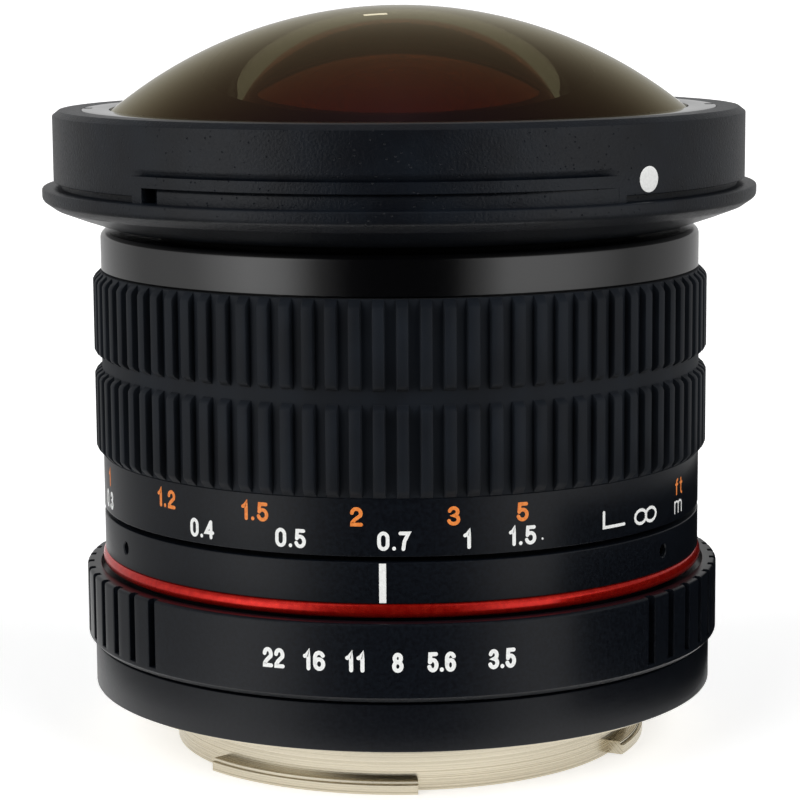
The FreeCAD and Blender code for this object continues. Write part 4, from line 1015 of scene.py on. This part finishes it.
# Light: a white tent all round, open toward the camera, so that the middle of every black barrel stays
# dark between two bright sides. It is dimmer behind, overhead and below the table. Each place on its
# wall is given as an azimuth and a brightness.
tent_walls = [
    (-180, 0.5), (-150, 0.43), (-114, 0.28), (-84, 0.42), (-58, 1.0), (-45, 0.85), (-31, 0.13), (-20, 0.0),
    (20, 0.0), (31, 0.3), (40, 0.72), (52, 0.7), (66, 0.63), (95, 0.22), (140, 0.31), (180, 0.5),
]
tent = bpy.data.worlds.new("light_tent")
bpy.context.scene.world = tent
tent.use_nodes = True
tree = tent.node_tree
tree.nodes.clear()
facing = add(tree, "ShaderNodeTexCoord").outputs["Generated"]
parts = add(tree, "ShaderNodeSeparateXYZ", {0: facing})
ahead = add(tree, "ShaderNodeMath", {0: parts.outputs["Y"], 1: -1.0}, operation="MULTIPLY")
around = add(tree, "ShaderNodeMath", {0: parts.outputs["X"], 1: ahead}, operation="ARCTAN2")
share = add(tree, "ShaderNodeMapRange", {"Value": around, 1: -math.pi, 2: math.pi})
stops = [(azimuth / 360 + 0.5, (level, level, level, 1)) for azimuth, level in tent_walls]
walls = add(tree, "ShaderNodeValToRGB", {"Fac": share}, stops=stops)
roof = add(
    tree, "ShaderNodeMapRange",
    {"Value": parts.outputs["Z"], 1: 0.25, 2: 0.7, 3: 1.0, 4: 0.5}, interpolation_type="SMOOTHSTEP",
)
ground = add(tree, "ShaderNodeMapRange", {"Value": parts.outputs["Z"], 1: -0.6, 2: -0.2, 3: 0.4, 4: 1.2})
lit = add(tree, "ShaderNodeMath", {0: walls.outputs["Color"], 1: roof}, operation="MULTIPLY")
tented = add(tree, "ShaderNodeMath", {0: lit, 1: ground}, operation="MULTIPLY")
level = add(tree, "ShaderNodeMath", {0: tented, 1: 0.01}, operation="ADD")
path = add(tree, "ShaderNodeLightPath")
seen = add(
    tree, "ShaderNodeMath",
    {0: path.outputs["Is Camera Ray"], 1: path.outputs["Is Transmission Ray"]}, operation="MAXIMUM",
)
strength = add(tree, "ShaderNodeMix", {0: seen, 2: level, 3: 1.0}, data_type="FLOAT")
backdrop = add(tree, "ShaderNodeBackground", {"Color": (1, 1, 1, 1), "Strength": strength})
add(tree, "ShaderNodeOutputWorld", {"Surface": backdrop})


def lamp(name, kind, azimuth, climb, power, softness):
    """Lamp a metre away that faces the object from an azimuth and a climb in degrees."""
    light = bpy.data.lights.new(name, kind)
    light.energy = power
    if kind == "SUN":
        light.angle = math.radians(softness)
    else:
        light.size = softness
    holder = bpy.data.objects.new(name, light)
    bpy.context.scene.collection.objects.link(holder)
    rise = math.radians(climb)
    way = place(1000 * math.cos(rise), azimuth, 1000 * math.sin(rise))
    holder.location = way
    holder.visible_glossy = holder.visible_transmission = kind == "AREA"
    holder.rotation_euler = way.to_track_quat("Z", "Y").to_euler()


lamp("left_skylight", "SUN", -50, 32, 1.7, 50)
lamp("right_skylight", "SUN", 50, 32, 1.7, 50)
lamp("window_behind", "AREA", 181.5, 26, 0.006, 0.03)

# Flag: a low black card that stands on the table close to the right of the object. Only reflections
# show it, and it keeps the lower right of the barrels dark.
card_black = mottled(
    "matt_black_card", {"Roughness": 0.95, "Specular IOR Level": 0.1}, 1.0, 3.0, 0.3, "#060606", "#0B0B0B",
)[0]
card_aside, card_front, card_back, card_bottom, card_top = 0.044, -0.045, 0.08, -0.0059, 0.022
corners = [(card_front, card_bottom), (card_back, card_bottom), (card_back, card_top), (card_front, card_top)]
shape = bmesh.new()
shape.faces.new([shape.verts.new((card_aside, y, z)) for y, z in corners])
card = solid("black_card", shape, card_black)
card.visible_camera = card.visible_diffuse = card.visible_shadow = card.visible_transmission = False

# Camera: a long lens a little under 30 cm from the axis, tipped down and leaning a trace.
camera = bpy.data.cameras.new("camera")
camera.sensor_width = 36.0
camera.lens = 123.63
camera.clip_start, camera.clip_end = 0.01, 100.0
stand = bpy.data.objects.new("camera", camera)
bpy.context.scene.collection.objects.link(stand)
eye = (-0.00179, -0.29972, 0.07751)
tip, aside, lean = math.radians(8.805), math.radians(0.328), math.radians(-0.39)
stand.matrix_world = (
    Matrix.Translation(eye) @ Matrix.Rotation(-aside, 4, "Z")
    @ Matrix.Rotation(math.pi / 2 - tip, 4, "X") @ Matrix.Rotation(lean, 4, "Z")
)
bpy.context.scene.camera = stand
bpy.context.scene.view_settings.view_transform = "Standard"

bpy.context.view_layer.update()
